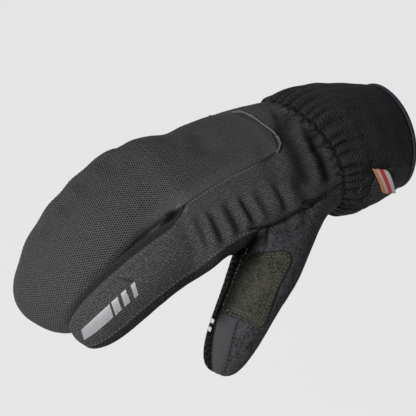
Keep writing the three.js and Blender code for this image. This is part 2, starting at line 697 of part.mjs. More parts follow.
const cloth = (color, roughness = 0.9) => new THREE.MeshStandardMaterial({ color, roughness, metalness: 0 });
const SOFTSHELL = cloth(0x2c2c2d);
const MESH_CLOTH = cloth(0x474748);
const SUEDE = cloth(0x3c3c3f, 0.95);
const GRIP = cloth(0x1c1c1e, 0.7);
const KNIT = cloth(0x4a4b4d);
const PATCH_SUEDE = cloth(0x46453f, 0.95);
const PRINT = cloth(0xa8a7ac, 0.4);
const CORD = cloth(0x77787c, 0.6);
const BINDING = cloth(0x17171b, 0.6);
const LABEL = cloth(0xb9b6b4, 0.8);

const glove = new THREE.Group();

function addMesh(name, geometry, material) {
  const mesh = new THREE.Mesh(geometry, material);
  mesh.name = name;
  glove.add(mesh);
  return mesh;
}

// Trim that lies on the glove

const lookup = new THREE.Raycaster();
// The skins without their seam gaps, to lay trim on
const wholeHand = new THREE.Mesh(panelGeometry(skin, skin.faces, -WALL, 0, 0));
const wholeCuff = new THREE.Mesh(panelGeometry(cuff, cuff.faces, -WALL, 0, 0));

// The first point of `target` met from `from` along `heading`, and the surface's normal there
function drop(target, from, heading) {
  lookup.set(from, heading.clone().normalize());
  const [hit] = lookup.intersectObject(target);
  return { point: hit.point, normal: hit.face.normal.clone() };
}

// A print laid on the hand; spot(u, v) gives a point outside it and the way inwards for u, v in 0..1
function laidGeometry(spot, across, down) {
  const low = [];
  const high = [];
  for (let j = 0; j <= down; j++)
    for (let i = 0; i <= across; i++) {
      const { from, heading } = spot(i / across, j / down);
      const { point } = drop(wholeHand, from, heading);
      const out = heading.clone().normalize().negate();
      low.push(point.clone().addScaledVector(out, LAID_GAP));
      high.push(point.clone().addScaledVector(out, LAID_GAP + PRINT_THICKNESS));
    }
  return slabGeometry(low, high, across, down);
}

// A closed slab between two grids of points
function slabGeometry(low, high, across, down) {
  const n = low.length;
  const at = (i, j) => j * (across + 1) + i;
  const triangles = [];
  const quad = (a, b, c, d) => triangles.push(a, b, c, a, c, d);
  for (let j = 0; j < down; j++)
    for (let i = 0; i < across; i++) {
      const [a, b, c, d] = [at(i, j), at(i + 1, j), at(i + 1, j + 1), at(i, j + 1)];
      quad(n + a, n + b, n + c, n + d);
      quad(a, d, c, b);
    }
  for (let i = 0; i < across; i++) {
    quad(at(i, 0), at(i + 1, 0), n + at(i + 1, 0), n + at(i, 0));
    quad(at(i + 1, down), at(i, down), n + at(i, down), n + at(i + 1, down));
  }
  for (let j = 0; j < down; j++) {
    quad(at(0, j + 1), at(0, j), n + at(0, j), n + at(0, j + 1));
    quad(at(across, j), at(across, j + 1), n + at(across, j + 1), n + at(across, j));
  }
  const geometry = meshGeometry([...low, ...high], triangles);
  return volume(geometry) < 0 ? meshGeometry([...low, ...high], triangles.reverse()) : geometry;
}

function volume(geometry) {
  const p = geometry.getAttribute("position");
  const [a, b, c] = [new THREE.Vector3(), new THREE.Vector3(), new THREE.Vector3()];
  let sum = 0;
  for (let i = 0; i < geometry.index.count; i += 3) {
    [a, b, c].forEach((v, k) => v.fromBufferAttribute(p, geometry.index.getX(i + k)));
    sum += a.dot(b.cross(c)) / 6;
  }
  return sum;
}

// A spot outside a tube, looking at its middle
function tubeSpot(tube, along, degrees) {
  const skinPoint = onTube(tube, along, degrees);
  const middle = onTube(tube, along, degrees, 0);
  const heading = new THREE.Vector3().subVectors(middle, skinPoint);
  return { from: skinPoint.addScaledVector(heading, -0.6), heading };
}

// Four slanted bars of reflective print on the index finger; shares of the finger's length
const BARS = [
  { from: 0.655, to: 0.895, across: 8 },
  { from: 0.59, to: 0.642, across: 2 },
  { from: 0.525, to: 0.568, across: 2 },
  { from: 0.461, to: 0.493, across: 2 },
];
const BAR_ANGLES = { from: 125, to: 152 };
const BAR_SLANT = 0.035;

// Two short white bars on the side of the thumb that grips
const THUMB_BARS = [
  { from: 0.66, to: 0.69 },
  { from: 0.715, to: 0.745 },
];
const THUMB_BAR_ANGLES = { from: 6, to: 28 };

// The label's corners on the cuff: two on the seam, then the two that hang free
const LABEL_CORNERS = [
  { along: 0.33, degrees: 163 },
  { along: 0.51, degrees: 191 },
  { along: 0.5, degrees: 166 },
  { along: 0.7, degrees: 195 },
];
const LABEL_LIFT = 2.5;

const mix = THREE.MathUtils.lerp;

function addTrim() {
  BARS.forEach((bar, i) => {
    const spot = (u, v) => {
      const degrees = mix(BAR_ANGLES.from, BAR_ANGLES.to, v);
      return tubeSpot(indexSections, mix(bar.from, bar.to, u) + BAR_SLANT * v, degrees);
    };
    addMesh(`reflective_bar_${i + 1}`, laidGeometry(spot, bar.across, 4), PRINT);
  });
  THUMB_BARS.forEach((bar, i) => {
    const spot = (u, v) =>
      tubeSpot(thumbSections, mix(bar.from, bar.to, v), mix(THUMB_BAR_ANGLES.from, THUMB_BAR_ANGLES.to, u));
    addMesh(`thumb_bar_${i + 1}`, laidGeometry(spot, 3, 1), PRINT);
  });
  addMesh("label", labelGeometry(), LABEL);
  addMesh("tongue_piping", pipingGeometry(), CORD);
}

function labelGeometry() {
  const [a, b, c, d] = LABEL_CORNERS;
  const low = [];
  const high = [];
  const across = 3;
  const down = 3;
  for (let j = 0; j <= down; j++)
    for (let i = 0; i <= across; i++) {
      const [u, v] = [i / across, j / down];
      const along = mix(mix(a.along, b.along, v), mix(c.along, d.along, v), u);
      const degrees = mix(mix(a.degrees, b.degrees, v), mix(c.degrees, d.degrees, v), u);
      const section = cuffSection({ along, width: 1.3, height: 1.3 });
      const from = ovalPoint(section, degrees);
      const heading = new THREE.Vector3().subVectors(section.centre, from).normalize();
      const { point } = drop(wholeCuff, from, heading);
      const lift = 2 * LAID_GAP + LABEL_LIFT * u ** 1.5;
      low.push(point.clone().addScaledVector(heading, -lift));
      high.push(point.clone().addScaledVector(heading, -lift - LABEL_THICKNESS));
    }
  return slabGeometry(low, high, across, down);
}

// A cord along the tongue's end
function pipingGeometry() {
  const plan = new THREE.SplineCurve(tongueLine.slice(1, -1));
  const count = 20;
  const sides = 6;
  const path = [];
  for (let i = 0; i <= count; i++) {
    const q = plan.getPointAt(i / count);
    const above = new THREE.Vector3(q.x, q.y, 2 * PALM_HEIGHT);
    const { point, normal } = drop(wholeHand, above, UP.clone().negate());
    path.push({ point, normal });
  }
  const vertices = [];
  path.forEach(({ point }, i) => {
    const before = path[Math.max(i - 1, 0)];
    const after = path[Math.min(i + 1, count)];
    const heading = new THREE.Vector3().subVectors(after.point, before.point).normalize();
    const up = path[i].normal.clone().add(before.normal).add(after.normal);
    up.addScaledVector(heading, -up.dot(heading)).normalize();
    const side = new THREE.Vector3().crossVectors(heading, up);
    const centre = point.clone().addScaledVector(up, LAID_GAP + CORD_THICKNESS / 2);
    for (let k = 0; k < sides; k++) {
      const turn = ((k + 0.5) * 360 * DEG) / sides;
      vertices.push(
        centre
          .clone()
          .addScaledVector(side, (Math.cos(turn) * CORD_THICKNESS) / 2)
          .addScaledVector(up, (Math.sin(turn) * CORD_THICKNESS) / 2),
      );
    }
  });
  const triangles = [];
  const quad = (a, b, c, d) => triangles.push(a, b, c, a, c, d);
  for (let i = 0; i < count; i++)
    for (let k = 0; k < sides; k++) {
      const n = (k + 1) % sides;
      quad(i * sides + k, i * sides + n, (i + 1) * sides + n, (i + 1) * sides + k);
    }
  for (let k = 1; k + 1 < sides; k++) {
    triangles.push(0, k + 1, k);
    triangles.push(count * sides, count * sides + k, count * sides + k + 1);
  }
  const geometry = meshGeometry(vertices, triangles);
  return volume(geometry) < 0 ? meshGeometry(vertices, triangles.reverse()) : geometry;
}

const PANELS = {
  mitt_back: MESH_CLOTH,
  hand_back: SOFTSHELL,
  palm: SUEDE,
  finger_gusset: SOFTSHELL,
  index_side: SOFTSHELL,
  thumb_back: SUEDE,
  thumb_palm: GRIP,
  thumb_touch_panel: KNIT,
};
const facesOf = (surface, ...panels) => surface.faces.filter((f) => panels.includes(f.panel));
// The thumb's back turns sharply at its root, so the palm side of the thumb is cut clear of it there
const thumbBackFaces = facesOf(skin, "thumb_back", "under_patch");
const thumbBackRoom = [SEAM_GAP, 3 * SEAM_GAP].map((grow) =>
  panelGeometry(skin, thumbBackFaces, -WALL - grow, grow, -0.4 * SEAM_GAP),
);
for (const [panel, material] of Object.entries(PANELS)) {
  const chosen = panel === "thumb_back" ? thumbBackFaces : facesOf(skin, panel);
  const wall = panel === "finger_gusset" ? GUSSET_WALL : WALL;
  const slab = panelGeometry(skin, chosen, -wall, 0);
  addMesh(panel, panel === "thumb_palm" ? thumbBackRoom.reduce(cutAway, slab) : slab, material);
}
const patch = panelGeometry(skin, facesOf(skin, "under_patch"), LAID_GAP, LAID_GAP + PATCH_THICKNESS, 1);
addMesh("thumb_patch", patch, PATCH_SUEDE);

for (const panel of ["cuff_back", "cuff_palm"])
  addMesh(panel, panelGeometry(cuff, facesOf(cuff, panel), -WALL, 0), SOFTSHELL);
addMesh("cuff_binding", bindingGeometry(), BINDING);
addTrim();

export default glove;
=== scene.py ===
"""A lobster claw mitt dressed for its photograph: worn on a hand and seen from the back of the hand.

Metres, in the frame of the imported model. Each cloth panel of the model is smoothed, padded, drawn in at
its seams, folded and stitched. The thumb's patch is laid again within its outline, and the cuff is made
again from its sections, with finer gathers.
"""

import math

import bmesh
import bpy
import numpy as np
from mathutils import Matrix, Vector, noise
from mathutils.bvhtree import BVHTree
from mathutils.geometry import delaunay_2d_cdt
from mathutils.kdtree import KDTree


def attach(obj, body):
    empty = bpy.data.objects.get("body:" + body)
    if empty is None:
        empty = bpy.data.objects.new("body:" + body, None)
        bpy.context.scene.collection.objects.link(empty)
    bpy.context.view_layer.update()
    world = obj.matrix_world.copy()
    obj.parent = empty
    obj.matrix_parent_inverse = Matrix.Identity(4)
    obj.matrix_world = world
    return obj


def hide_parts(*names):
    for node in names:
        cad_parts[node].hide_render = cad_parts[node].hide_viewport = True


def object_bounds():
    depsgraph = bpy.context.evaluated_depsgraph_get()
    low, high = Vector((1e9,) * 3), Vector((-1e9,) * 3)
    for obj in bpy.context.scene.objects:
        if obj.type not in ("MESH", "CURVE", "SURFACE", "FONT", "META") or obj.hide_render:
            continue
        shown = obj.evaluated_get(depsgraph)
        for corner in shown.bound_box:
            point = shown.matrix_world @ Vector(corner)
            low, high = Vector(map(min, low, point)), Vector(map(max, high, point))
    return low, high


MM = 0.001
ROOT = "root"

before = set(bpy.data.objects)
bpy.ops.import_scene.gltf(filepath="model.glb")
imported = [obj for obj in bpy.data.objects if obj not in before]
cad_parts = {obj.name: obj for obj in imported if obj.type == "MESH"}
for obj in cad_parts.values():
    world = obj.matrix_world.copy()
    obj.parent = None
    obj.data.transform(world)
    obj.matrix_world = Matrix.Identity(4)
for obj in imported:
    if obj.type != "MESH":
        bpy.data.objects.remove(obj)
cad_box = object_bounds()

# Camera: the angle at which the photograph looks at the back of the hand
CAMERA_AZIMUTH = math.radians(-24)
CAMERA_ELEVATION = math.radians(43)
CAMERA_DISTANCE = 850 * MM
CAMERA_TARGET = Vector((-135, -15.5, -1)) * MM
PIXEL = 0.63 * MM  # at the target
PHOTO_SIDE = 416  # pixels
SENSOR = 36  # millimetres

camera_right = Vector((math.cos(CAMERA_AZIMUTH), math.sin(CAMERA_AZIMUTH), 0))
camera_back = Vector(
    (
        math.sin(CAMERA_AZIMUTH) * math.cos(CAMERA_ELEVATION),
        -math.cos(CAMERA_AZIMUTH) * math.cos(CAMERA_ELEVATION),
        math.sin(CAMERA_ELEVATION),
    )
)
camera_up = camera_back.cross(camera_right)
camera_place = CAMERA_TARGET + camera_back * CAMERA_DISTANCE


def add_camera():
    data = bpy.data.cameras.new("photo_camera")
    data.sensor_width = SENSOR
    data.lens = CAMERA_DISTANCE * SENSOR / (PHOTO_SIDE * PIXEL)
    camera = bpy.data.objects.new("photo_camera", data)
    turn = Matrix((camera_right, camera_up, camera_back)).transposed()
    camera.matrix_world = Matrix.Translation(camera_place) @ turn.to_4x4()
    bpy.context.scene.collection.objects.link(camera)
    bpy.context.scene.camera = camera


def photo_ray(x, y):
    """The direction from the camera through a pixel of the photograph."""
    middle = PHOTO_SIDE / 2
    across = camera_right * (x - middle) - camera_up * (y - middle)
    return (across * PIXEL - camera_back * CAMERA_DISTANCE).normalized()


# Shader building


# Painted shade: the near-black tone that cloth is mixed towards where its mesh carries a shade
PAINTED_SHADE_TONE = (0.0008, 0.0008, 0.0008)  # the tone of cloth deep in a fold, linear


class Cloth:
    """A Principled material and short ways to wire its nodes."""

    def __init__(self, name, color, roughness, sheen=0.0, specular=0.05):
        self.material = bpy.data.materials.new(name)
        self.material.use_nodes = True
        self.tree = self.material.node_tree
        self.shader = self.tree.nodes["Principled BSDF"]
        self.shader.inputs["Base Color"].default_value = (*color, 1)
        self.shader.inputs["Roughness"].default_value = roughness
        self.shader.inputs["Specular IOR Level"].default_value = specular
        self.shader.inputs["Sheen Weight"].default_value = sheen
        self.shader.inputs["Sheen Roughness"].default_value = 0.45
        self.material.diffuse_color = (*color, 1)

    def node(self, kind):
        return self.tree.nodes.new("ShaderNode" + kind)

    def wire(self, source, socket):
        self.tree.links.new(source, socket)

    def set(self, socket, value):
        if isinstance(value, bpy.types.NodeSocket):
            self.wire(value, socket)
        else:
            socket.default_value = value

    def math(self, operation, a, b=0.0, c=0.0):
        node = self.node("Math")
        node.operation = operation
        for socket, value in zip(node.inputs, (a, b, c)):
            self.set(socket, value)
        return node.outputs[0]

    def times(self, a, b):
        return self.math("MULTIPLY", a, b)

    def between(self, value, low, high, to_low=0.0, to_high=1.0):
        """A smooth step from to_low to to_high as value goes from low to high."""
        node = self.node("MapRange")
        node.interpolation_type = "SMOOTHSTEP"
        keys = ("Value", "From Min", "From Max", "To Min", "To Max")
        for key, item in zip(keys, (value, low, high, to_low, to_high)):
            self.set(node.inputs[key], item)
        return node.outputs[0]

    def mix(self, share, a, b):
        node = self.node("Mix")
        node.data_type = "RGBA"
        self.set(node.inputs[0], share)
        for socket, value in ((node.inputs[6], a), (node.inputs[7], b)):
            if isinstance(value, tuple):
                value = (*value, 1) if len(value) == 3 else value
            self.set(socket, value)
        return node.outputs[2]

    def tones(self, share, tone, low, high):
        """From one share of a tone to another."""
        return self.mix(share, scaled(tone, low), scaled(tone, high))

    def uv(self):
        """Cloth coordinates in metres: along the grain and across it."""
        source = self.node("UVMap")
        source.uv_map = "cloth"
        split = self.node("SeparateXYZ")
        self.wire(source.outputs[0], split.inputs[0])
        return split.outputs[0], split.outputs[1]

    def place(self):
        """The point's place in the model's own coordinates."""
        return self.node("TexCoord").outputs["Object"]

    def place_part(self, axis):
        split = self.node("SeparateXYZ")
        self.wire(self.place(), split.inputs[0])
        return split.outputs[axis]

    def kept(self, name):
        """What the mesh keeps at each vertex under this name."""
        node = self.node("Attribute")
        node.attribute_name = name
        return node.outputs["Fac"]

    def seam(self):
        """Millimetres to the panel's nearest edge."""
        return self.kept("seam")

    def noise(self, size, detail=3.0, roughness=0.5, stretch=None):
        """Noise of a given grain size in metres, from 0 to 1."""
        node = self.node("TexNoise")
        node.inputs["Scale"].default_value = 1 / size
        node.inputs["Detail"].default_value = detail
        node.inputs["Roughness"].default_value = roughness
        source = self.place()
        if stretch:
            mapping = self.node("Mapping")
            mapping.inputs["Scale"].default_value = stretch
            self.wire(source, mapping.inputs[0])
            source = mapping.outputs[0]
        self.wire(source, node.inputs["Vector"])
        return node.outputs["Fac"]

    def wave(self, value, pitch):
        """A wave from 0 to 1 whose period is pitch."""
        turns = self.times(value, 2 * math.pi / pitch)
        return self.math("MULTIPLY_ADD", self.math("SINE", turns), 0.5, 0.5)

    def hexagons(self, pitch):
        """Peaks on a hexagonal lattice, from 0 to 1."""
        u, v = self.uv()
        row = pitch * math.sin(math.pi / 3)
        total = None
        for turn in (0, 60, 120):
            c, s = math.cos(math.radians(turn)), math.sin(math.radians(turn))
            along = self.math("ADD", self.times(u, c), self.times(v, s))
            part = self.math("COSINE", self.times(along, 2 * math.pi / row))
            total = part if total is None else self.math("ADD", total, part)
        return self.math("MULTIPLY_ADD", total, 2 / 9, 1 / 3)

    def bump(self, height, distance, strength=1.0, under=None):
        node = self.node("Bump")
        node.inputs["Strength"].default_value = strength
        node.inputs["Distance"].default_value = distance
        self.wire(height, node.inputs["Height"])
        if under is not None:
            self.wire(under, node.inputs["Normal"])
        return node.outputs[0]

    def finish(self, color=None, normal=None, roughness=None):
        """Wires the shader; where the piece carries a shade, its colour is mixed towards a painted shade
        as dark as deep in a fold.
        """
        if color is not None:
            color = self.mix(self.kept("shade"), color, PAINTED_SHADE_TONE)
        for key, value in (("Base Color", color), ("Normal", normal), ("Roughness", roughness)):
            if value is not None:
                self.wire(value, self.shader.inputs[key])
        return self.material


def scaled(color, share):
    return tuple(c * share for c in color)


# Tones of the cloths, linear
CHARCOAL = (0.0485, 0.0485, 0.0492)
BLACK_RIB = (0.042, 0.042, 0.0427)
SUEDE_TONE = (0.0255, 0.0255, 0.0275)
OLIVE = (0.0265, 0.026, 0.021)
KNIT_TONE = (0.062, 0.063, 0.067)
GRIP_TONE = (0.0035, 0.0035, 0.004)
BINDING_TONE = (0.008, 0.009, 0.013)
PRINT_TONE = (0.21, 0.21, 0.22)
WHITE_PRINT = (0.42, 0.43, 0.44)
CORD_TONE = (0.085, 0.087, 0.092)
THREAD_TONE = (0.06, 0.06, 0.062)
OLIVE_THREAD = (0.075, 0.072, 0.058)
LINING_TONE = (0.02, 0.02, 0.021)
ELASTIC_TONE = (0.004, 0.004, 0.0042)
LABEL_TONE = (0.36, 0.35, 0.345)
STRIPE_RED = (0.42, 0.03, 0.035)
FOLD_TAN = (0.5, 0.21, 0.08)

DOT_PITCH = 1.6 * MM
RIB_PITCH = 1.7 * MM


# Where the mesh cloth changes along the hand, in metres from the middle of the cuff's rim
TIP_FADE = (-0.25, -0.2)
WRIST_FADE = (-0.15, -0.09)
WRIST_SHADE_SPAN = (-0.17, -0.1)


def mesh_cloth():
    """Charcoal softshell with hexagonal pinholes, which fade out towards the wrist, where painted shade
    also darkens it.
    """
    cloth = Cloth("mesh_cloth", CHARCOAL, 0.85, sheen=0.03)
    dots = cloth.hexagons(DOT_PITCH)
    hole = cloth.between(dots, 0.28, 0.62)
    fade = cloth.between(cloth.place_part(0), *WRIST_FADE, 1.0, 0.35)
    tip = cloth.between(cloth.place_part(0), *TIP_FADE, 0.72, 1.0)
    edge = cloth.times(tip, cloth.between(cloth.seam(), 1.0, 14.0, 0.3, 1.0))
    shown = cloth.times(hole, cloth.times(fade, edge))
    blotch = cloth.noise(16 * MM, 2.0)
    body = cloth.tones(blotch, CHARCOAL, 0.85, 1.15)
    # painted shade: the cloth darkens towards the wrist
    wrist = cloth.between(cloth.place_part(0), *WRIST_SHADE_SPAN, 0.0, 0.22)
    fuzz = cloth.noise(0.7 * MM, 3.0, 0.7)
    lit = cloth.mix(0.5, body, scaled(CHARCOAL, 1.9))
    body = cloth.mix(cloth.between(fuzz, 0.4, 0.65), scaled(CHARCOAL, 0.72), lit)
    color = cloth.mix(shown, body, scaled(CHARCOAL, 0.04))
    color = cloth.mix(wrist, color, scaled(CHARCOAL, 0.1))
    fine = cloth.bump(fuzz, 0.25 * MM, 0.7)
    dip = cloth.math("SUBTRACT", 1.0, shown)
    return cloth.finish(color, cloth.bump(dip, 0.5 * MM, 1.0, fine))


def ribbed_cloth(name, tone, pitch=RIB_PITCH, across=1):
    """Softshell with fine ribs along its grain."""
    cloth = Cloth(name, tone, 0.8, sheen=0.03)
    run = cloth.uv()[across]
    wobble = cloth.times(cloth.noise(9 * MM, 2.0), 0.5 * MM)
    rib = cloth.wave(cloth.math("ADD", run, wobble), pitch)
    weave = cloth.wave(cloth.uv()[1 - across], 0.9 * MM)
    thread = cloth.times(rib, cloth.math("MULTIPLY_ADD", weave, 0.3, 0.7))
    blotch = cloth.noise(20 * MM, 2.0)
    body = cloth.tones(blotch, tone, 0.85, 1.15)
    color = cloth.mix(thread, scaled(tone, 0.42), body)
    fuzz = cloth.noise(1.1 * MM, 4.0, 0.8)
    color = cloth.mix(cloth.between(fuzz, 0.47, 0.64, 0.0, 0.55), color, scaled(tone, 2.3))
    return cloth.finish(color, cloth.bump(thread, 0.4 * MM, 0.9, cloth.bump(fuzz, 0.42 * MM, 0.85)))


def suede(name, tone, nap=1.2 * MM):
    """Brushed suede: a short nap whose tufts catch the light."""
    cloth = Cloth(name, tone, 0.95, sheen=0.03, specular=0.03)
    tufts = cloth.noise(nap, 5.0, 0.75)
    tuft = cloth.between(tufts, 0.4, 0.62)
    strokes = cloth.noise(6 * MM, 4.0, 0.65)
    body = cloth.tones(cloth.between(strokes, 0.4, 0.6), tone, 0.45, 1.2)
    color = cloth.mix(cloth.times(tuft, 0.8), body, scaled(tone, 2.8))
    worn = cloth.between(cloth.seam(), 0.0, 2.5, 0.4, 0.0)
    color = cloth.mix(worn, color, scaled(tone, 0.4))
    return cloth.finish(color, cloth.bump(tufts, 0.8 * MM, 0.95))


def grip_cloth():
    """Black cloth of the thumb's gripping side with rows of silicone ridges."""
    cloth = Cloth("grip_cloth", GRIP_TONE, 0.6, specular=0.05)
    u, v = cloth.uv()
    zigzag = cloth.times(cloth.math("PINGPONG", v, 2.2 * MM), 0.8)
    ridge = cloth.between(cloth.wave(cloth.math("ADD", u, zigzag), 3.4 * MM), 0.55, 0.85)
    color = cloth.tones(ridge, GRIP_TONE, 0.7, 2.1)
    rough = cloth.between(ridge, 0.0, 1.0, 0.85, 0.42)
    fuzz = cloth.noise(0.5 * MM, 2.0)
    return cloth.finish(color, cloth.bump(ridge, 0.5 * MM, 0.9, cloth.bump(fuzz, 0.1 * MM, 0.5)), rough)


def knit_cloth():
    """Grey conductive knit: columns of small loops."""
    cloth = Cloth("knit", KNIT_TONE, 0.75, sheen=0.03)
    u, v = cloth.uv()
    slope = cloth.math("PINGPONG", v, 0.75 * MM)
    loops = cloth.wave(cloth.math("MULTIPLY_ADD", slope, 0.9, u), 1.1 * MM)
    column = cloth.wave(v, 1.5 * MM)
    height = cloth.times(loops, cloth.math("MULTIPLY_ADD", column, 0.6, 0.4))
    color = cloth.tones(height, KNIT_TONE, 0.45, 1.3)
    return cloth.finish(color, cloth.bump(height, 0.35 * MM, 0.9))


def tape(name, tone, edge_tone, pitch=0.8 * MM, roughness=0.55):
    """Woven tape with a slight gloss."""
    cloth = Cloth(name, tone, roughness, sheen=0.03, specular=0.15)
    weave = cloth.noise(pitch, 2.0)
    ribs = cloth.wave(cloth.place_part(2), pitch)
    height = cloth.math("MULTIPLY_ADD", ribs, 0.6, cloth.times(weave, 0.6))
    color = cloth.mix(height, tone, edge_tone)
    return cloth.finish(color, cloth.bump(height, 0.2 * MM, 0.7))


def reflective_print(name, tone, roughness):
    """Heat-transfer print: fine beads with hairline cracks across the stretch."""
    cloth = Cloth(name, tone, roughness, specular=0.4)
    beads = cloth.noise(0.35 * MM, 1.0)
    scuff = cloth.between(cloth.noise(3.5 * MM, 5.0, 0.7), 0.56, 0.72)
    crease = cloth.between(cloth.noise(2.4 * MM, 3.0, 0.6, (0.35, 1.4, 1.4)), 0.6, 0.68)
    color = cloth.tones(beads, tone, 0.8, 1.12)
    color = cloth.mix(cloth.times(scuff, 0.35), color, scaled(tone, 0.45))
    color = cloth.mix(cloth.times(crease, 0.5), color, scaled(tone, 0.4))
    return cloth.finish(color, cloth.bump(beads, 0.08 * MM, 0.6))


def label_cloth():
    """Woven label tape with a plain red stripe; its folded end is tan."""
    cloth = Cloth("label_tape", LABEL_TONE, 0.75, sheen=0.1)
    u, v = cloth.uv()
    weave = cloth.times(cloth.wave(u, 0.7 * MM), cloth.wave(v, 0.5 * MM))
    across = cloth.kept("across")
    start = cloth.between(across, 0.4, 0.43)
    end = cloth.between(across, 0.69, 0.72, 1.0, 0.0)
    band = cloth.times(start, end)
    fold = cloth.between(across, 0.22, 0.28, 1.0, 0.0)
    color = cloth.tones(weave, LABEL_TONE, 0.75, 1.1)
    red = cloth.mix(weave, scaled(STRIPE_RED, 0.7), STRIPE_RED)
    color = cloth.mix(band, color, red)
    tan = cloth.mix(weave, scaled(FOLD_TAN, 0.6), FOLD_TAN)
    return cloth.finish(cloth.mix(fold, color, tan), cloth.bump(weave, 0.15 * MM, 0.7))


def thread_material(name, tone):
    cloth = Cloth(name, tone, 0.55, sheen=0.03, specular=0.1)
    twist = cloth.noise(0.4 * MM, 1.0)
    color = cloth.tones(twist, tone, 0.6, 1.6)
    return cloth.finish(color, cloth.bump(twist, 0.1 * MM, 0.6))


def lining_material():
    cloth = Cloth("fleece_lining", LINING_TONE, 0.95, sheen=0.1, specular=0.03)
    pile = cloth.noise(1.4 * MM, 3.0, 0.6)
    color = cloth.tones(pile, LINING_TONE, 0.5, 1.6)
    return cloth.finish(color, cloth.bump(pile, 0.6 * MM, 0.8))


MATERIALS = {
    "mesh": mesh_cloth(),
    "rib": ribbed_cloth("ribbed_softshell", BLACK_RIB),
    "cuff_rib": ribbed_cloth("cuff_softshell", scaled(BLACK_RIB, 0.75), 2.0 * MM),
    "side": ribbed_cloth("side_softshell", scaled(BLACK_RIB, 0.42), 2.0 * MM, 0),
    "gusset": ribbed_cloth("gusset_softshell", scaled(BLACK_RIB, 0.3), 1.4 * MM),
    "palm": suede("palm_suede", scaled(SUEDE_TONE, 0.8)),
    "thumb": suede("thumb_suede", SUEDE_TONE),
    "patch": suede("patch_suede", OLIVE, 1.0 * MM),
    "grip": grip_cloth(),
    "knit": knit_cloth(),
    "binding": tape("binding_tape", BINDING_TONE, scaled(BINDING_TONE, 2.6)),
    "cord": tape("piping_cord", scaled(CORD_TONE, 0.8), scaled(CORD_TONE, 1.3), 0.7 * MM),
    "print": reflective_print("reflective_print", PRINT_TONE, 0.42),
    "white": reflective_print("white_print", WHITE_PRINT, 0.5),
    "label": label_cloth(),
    "thread": thread_material("sewing_thread", THREAD_TONE),
    "light_thread": thread_material("light_thread", scaled(THREAD_TONE, 1.5)),
    "olive_thread": thread_material("patch_thread", OLIVE_THREAD),
    "roll": thread_material("turned_edge", scaled(BLACK_RIB, 0.6)),
    "elastic": thread_material("wrist_elastic", ELASTIC_TONE),
    "lining": lining_material(),
}

# Meshes

SHARP_TURN = math.radians(58)  # an edge of the model that turns more than this is a panel's rim
QUAD_TURN = math.radians(38)  # two triangles that turn less than this become one quad
QUAD_SKEW = math.radians(70)
SAME_PLACE = 0.002 * MM
SHORTEST_RIM = 8  # vertices


def slab_faces(upper, count):
    """A slab's faces: the upper ones, the same on the vertices that lie count farther on, and walls."""
    sides = [side for face in upper for side in zip(face, face[1:] + face[:1])]
    shared = set(sides)
    walls = [(b, a, a + count, b + count) for a, b in sides if (b, a) not in shared]
    lower = [tuple(v + count for v in reversed(face)) for face in upper]
    return upper + lower + walls


def closed_mesh(name, vertices, faces):
    """A closed mesh whose faces all look outwards."""
    mesh = bpy.data.meshes.new(name)
    mesh.from_pydata(vertices, [], faces)
    bm = bmesh.new()
    bm.from_mesh(mesh)
    bmesh.ops.recalc_face_normals(bm, faces=bm.faces)
    bm.to_mesh(mesh)
    bm.free()
    return mesh


def keep(mesh, name, values):
    """Keeps a value at each vertex, for the mesh's material to read."""
    attribute = mesh.attributes.new(name, "FLOAT", "POINT")
    attribute.data.foreach_set("value", values)


def link(name, mesh, *materials):
    piece = bpy.data.objects.new(name, mesh)
    bpy.context.scene.collection.objects.link(piece)
    for material in materials:
        mesh.materials.append(MATERIALS[material])
    mesh.shade_smooth()
    return piece


def coordinates(mesh):
    flat = np.empty(len(mesh.vertices) * 3)
    mesh.vertices.foreach_get("co", flat)
    return flat.reshape(-1, 3)


def normals(mesh):
    flat = np.empty(len(mesh.vertices) * 3)
    mesh.vertex_normals.foreach_get("vector", flat)
    return flat.reshape(-1, 3)


def set_coordinates(mesh, points):
    mesh.vertices.foreach_set("co", points.ravel())
    mesh.update()


def surface_of(mesh):
    """A tree over a mesh's outer faces."""
    faces = [tuple(p.vertices) for p in mesh.polygons if p.material_index == 0]
    return BVHTree.FromPolygons([v.co for v in mesh.vertices], faces)


def largest_island(faces):
    """The largest group of faces that hang together without crossing a rim."""
    islands = []
    left = set(faces)
    while left:
        stack = [left.pop()]
        island = []
        while stack:
            face = stack.pop()
            island.append(face)
            for edge in face.edges:
                if edge.seam:
                    continue
                for other in edge.link_faces:
                    if other in left:
                        left.discard(other)
                        stack.append(other)
        islands.append(island)
    return max(islands, key=lambda island: sum(face.calc_area() for face in island))


def coarse_copy(node):
    """The node's mesh in quads, its outer faces on slot 0 and its other faces on slot 1."""
    bm = bmesh.new()
    bm.from_mesh(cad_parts[node].data)
    bmesh.ops.remove_doubles(bm, verts=bm.verts, dist=SAME_PLACE)
    bmesh.ops.join_triangles(
        bm, faces=bm.faces, angle_face_threshold=QUAD_TURN, angle_shape_threshold=QUAD_SKEW
    )
    crease = bm.edges.layers.float.new("crease_edge")
    for edge in bm.edges:
        edge.seam = len(edge.link_faces) != 2 or edge.calc_face_angle() > SHARP_TURN
        if edge.seam:
            edge[crease] = 1.0
    for face in bm.faces:
        face.material_index = 1
    for face in largest_island(bm.faces):
        face.material_index = 0
    mesh = bpy.data.meshes.new(node)
    bm.to_mesh(mesh)
    bm.free()
    return mesh


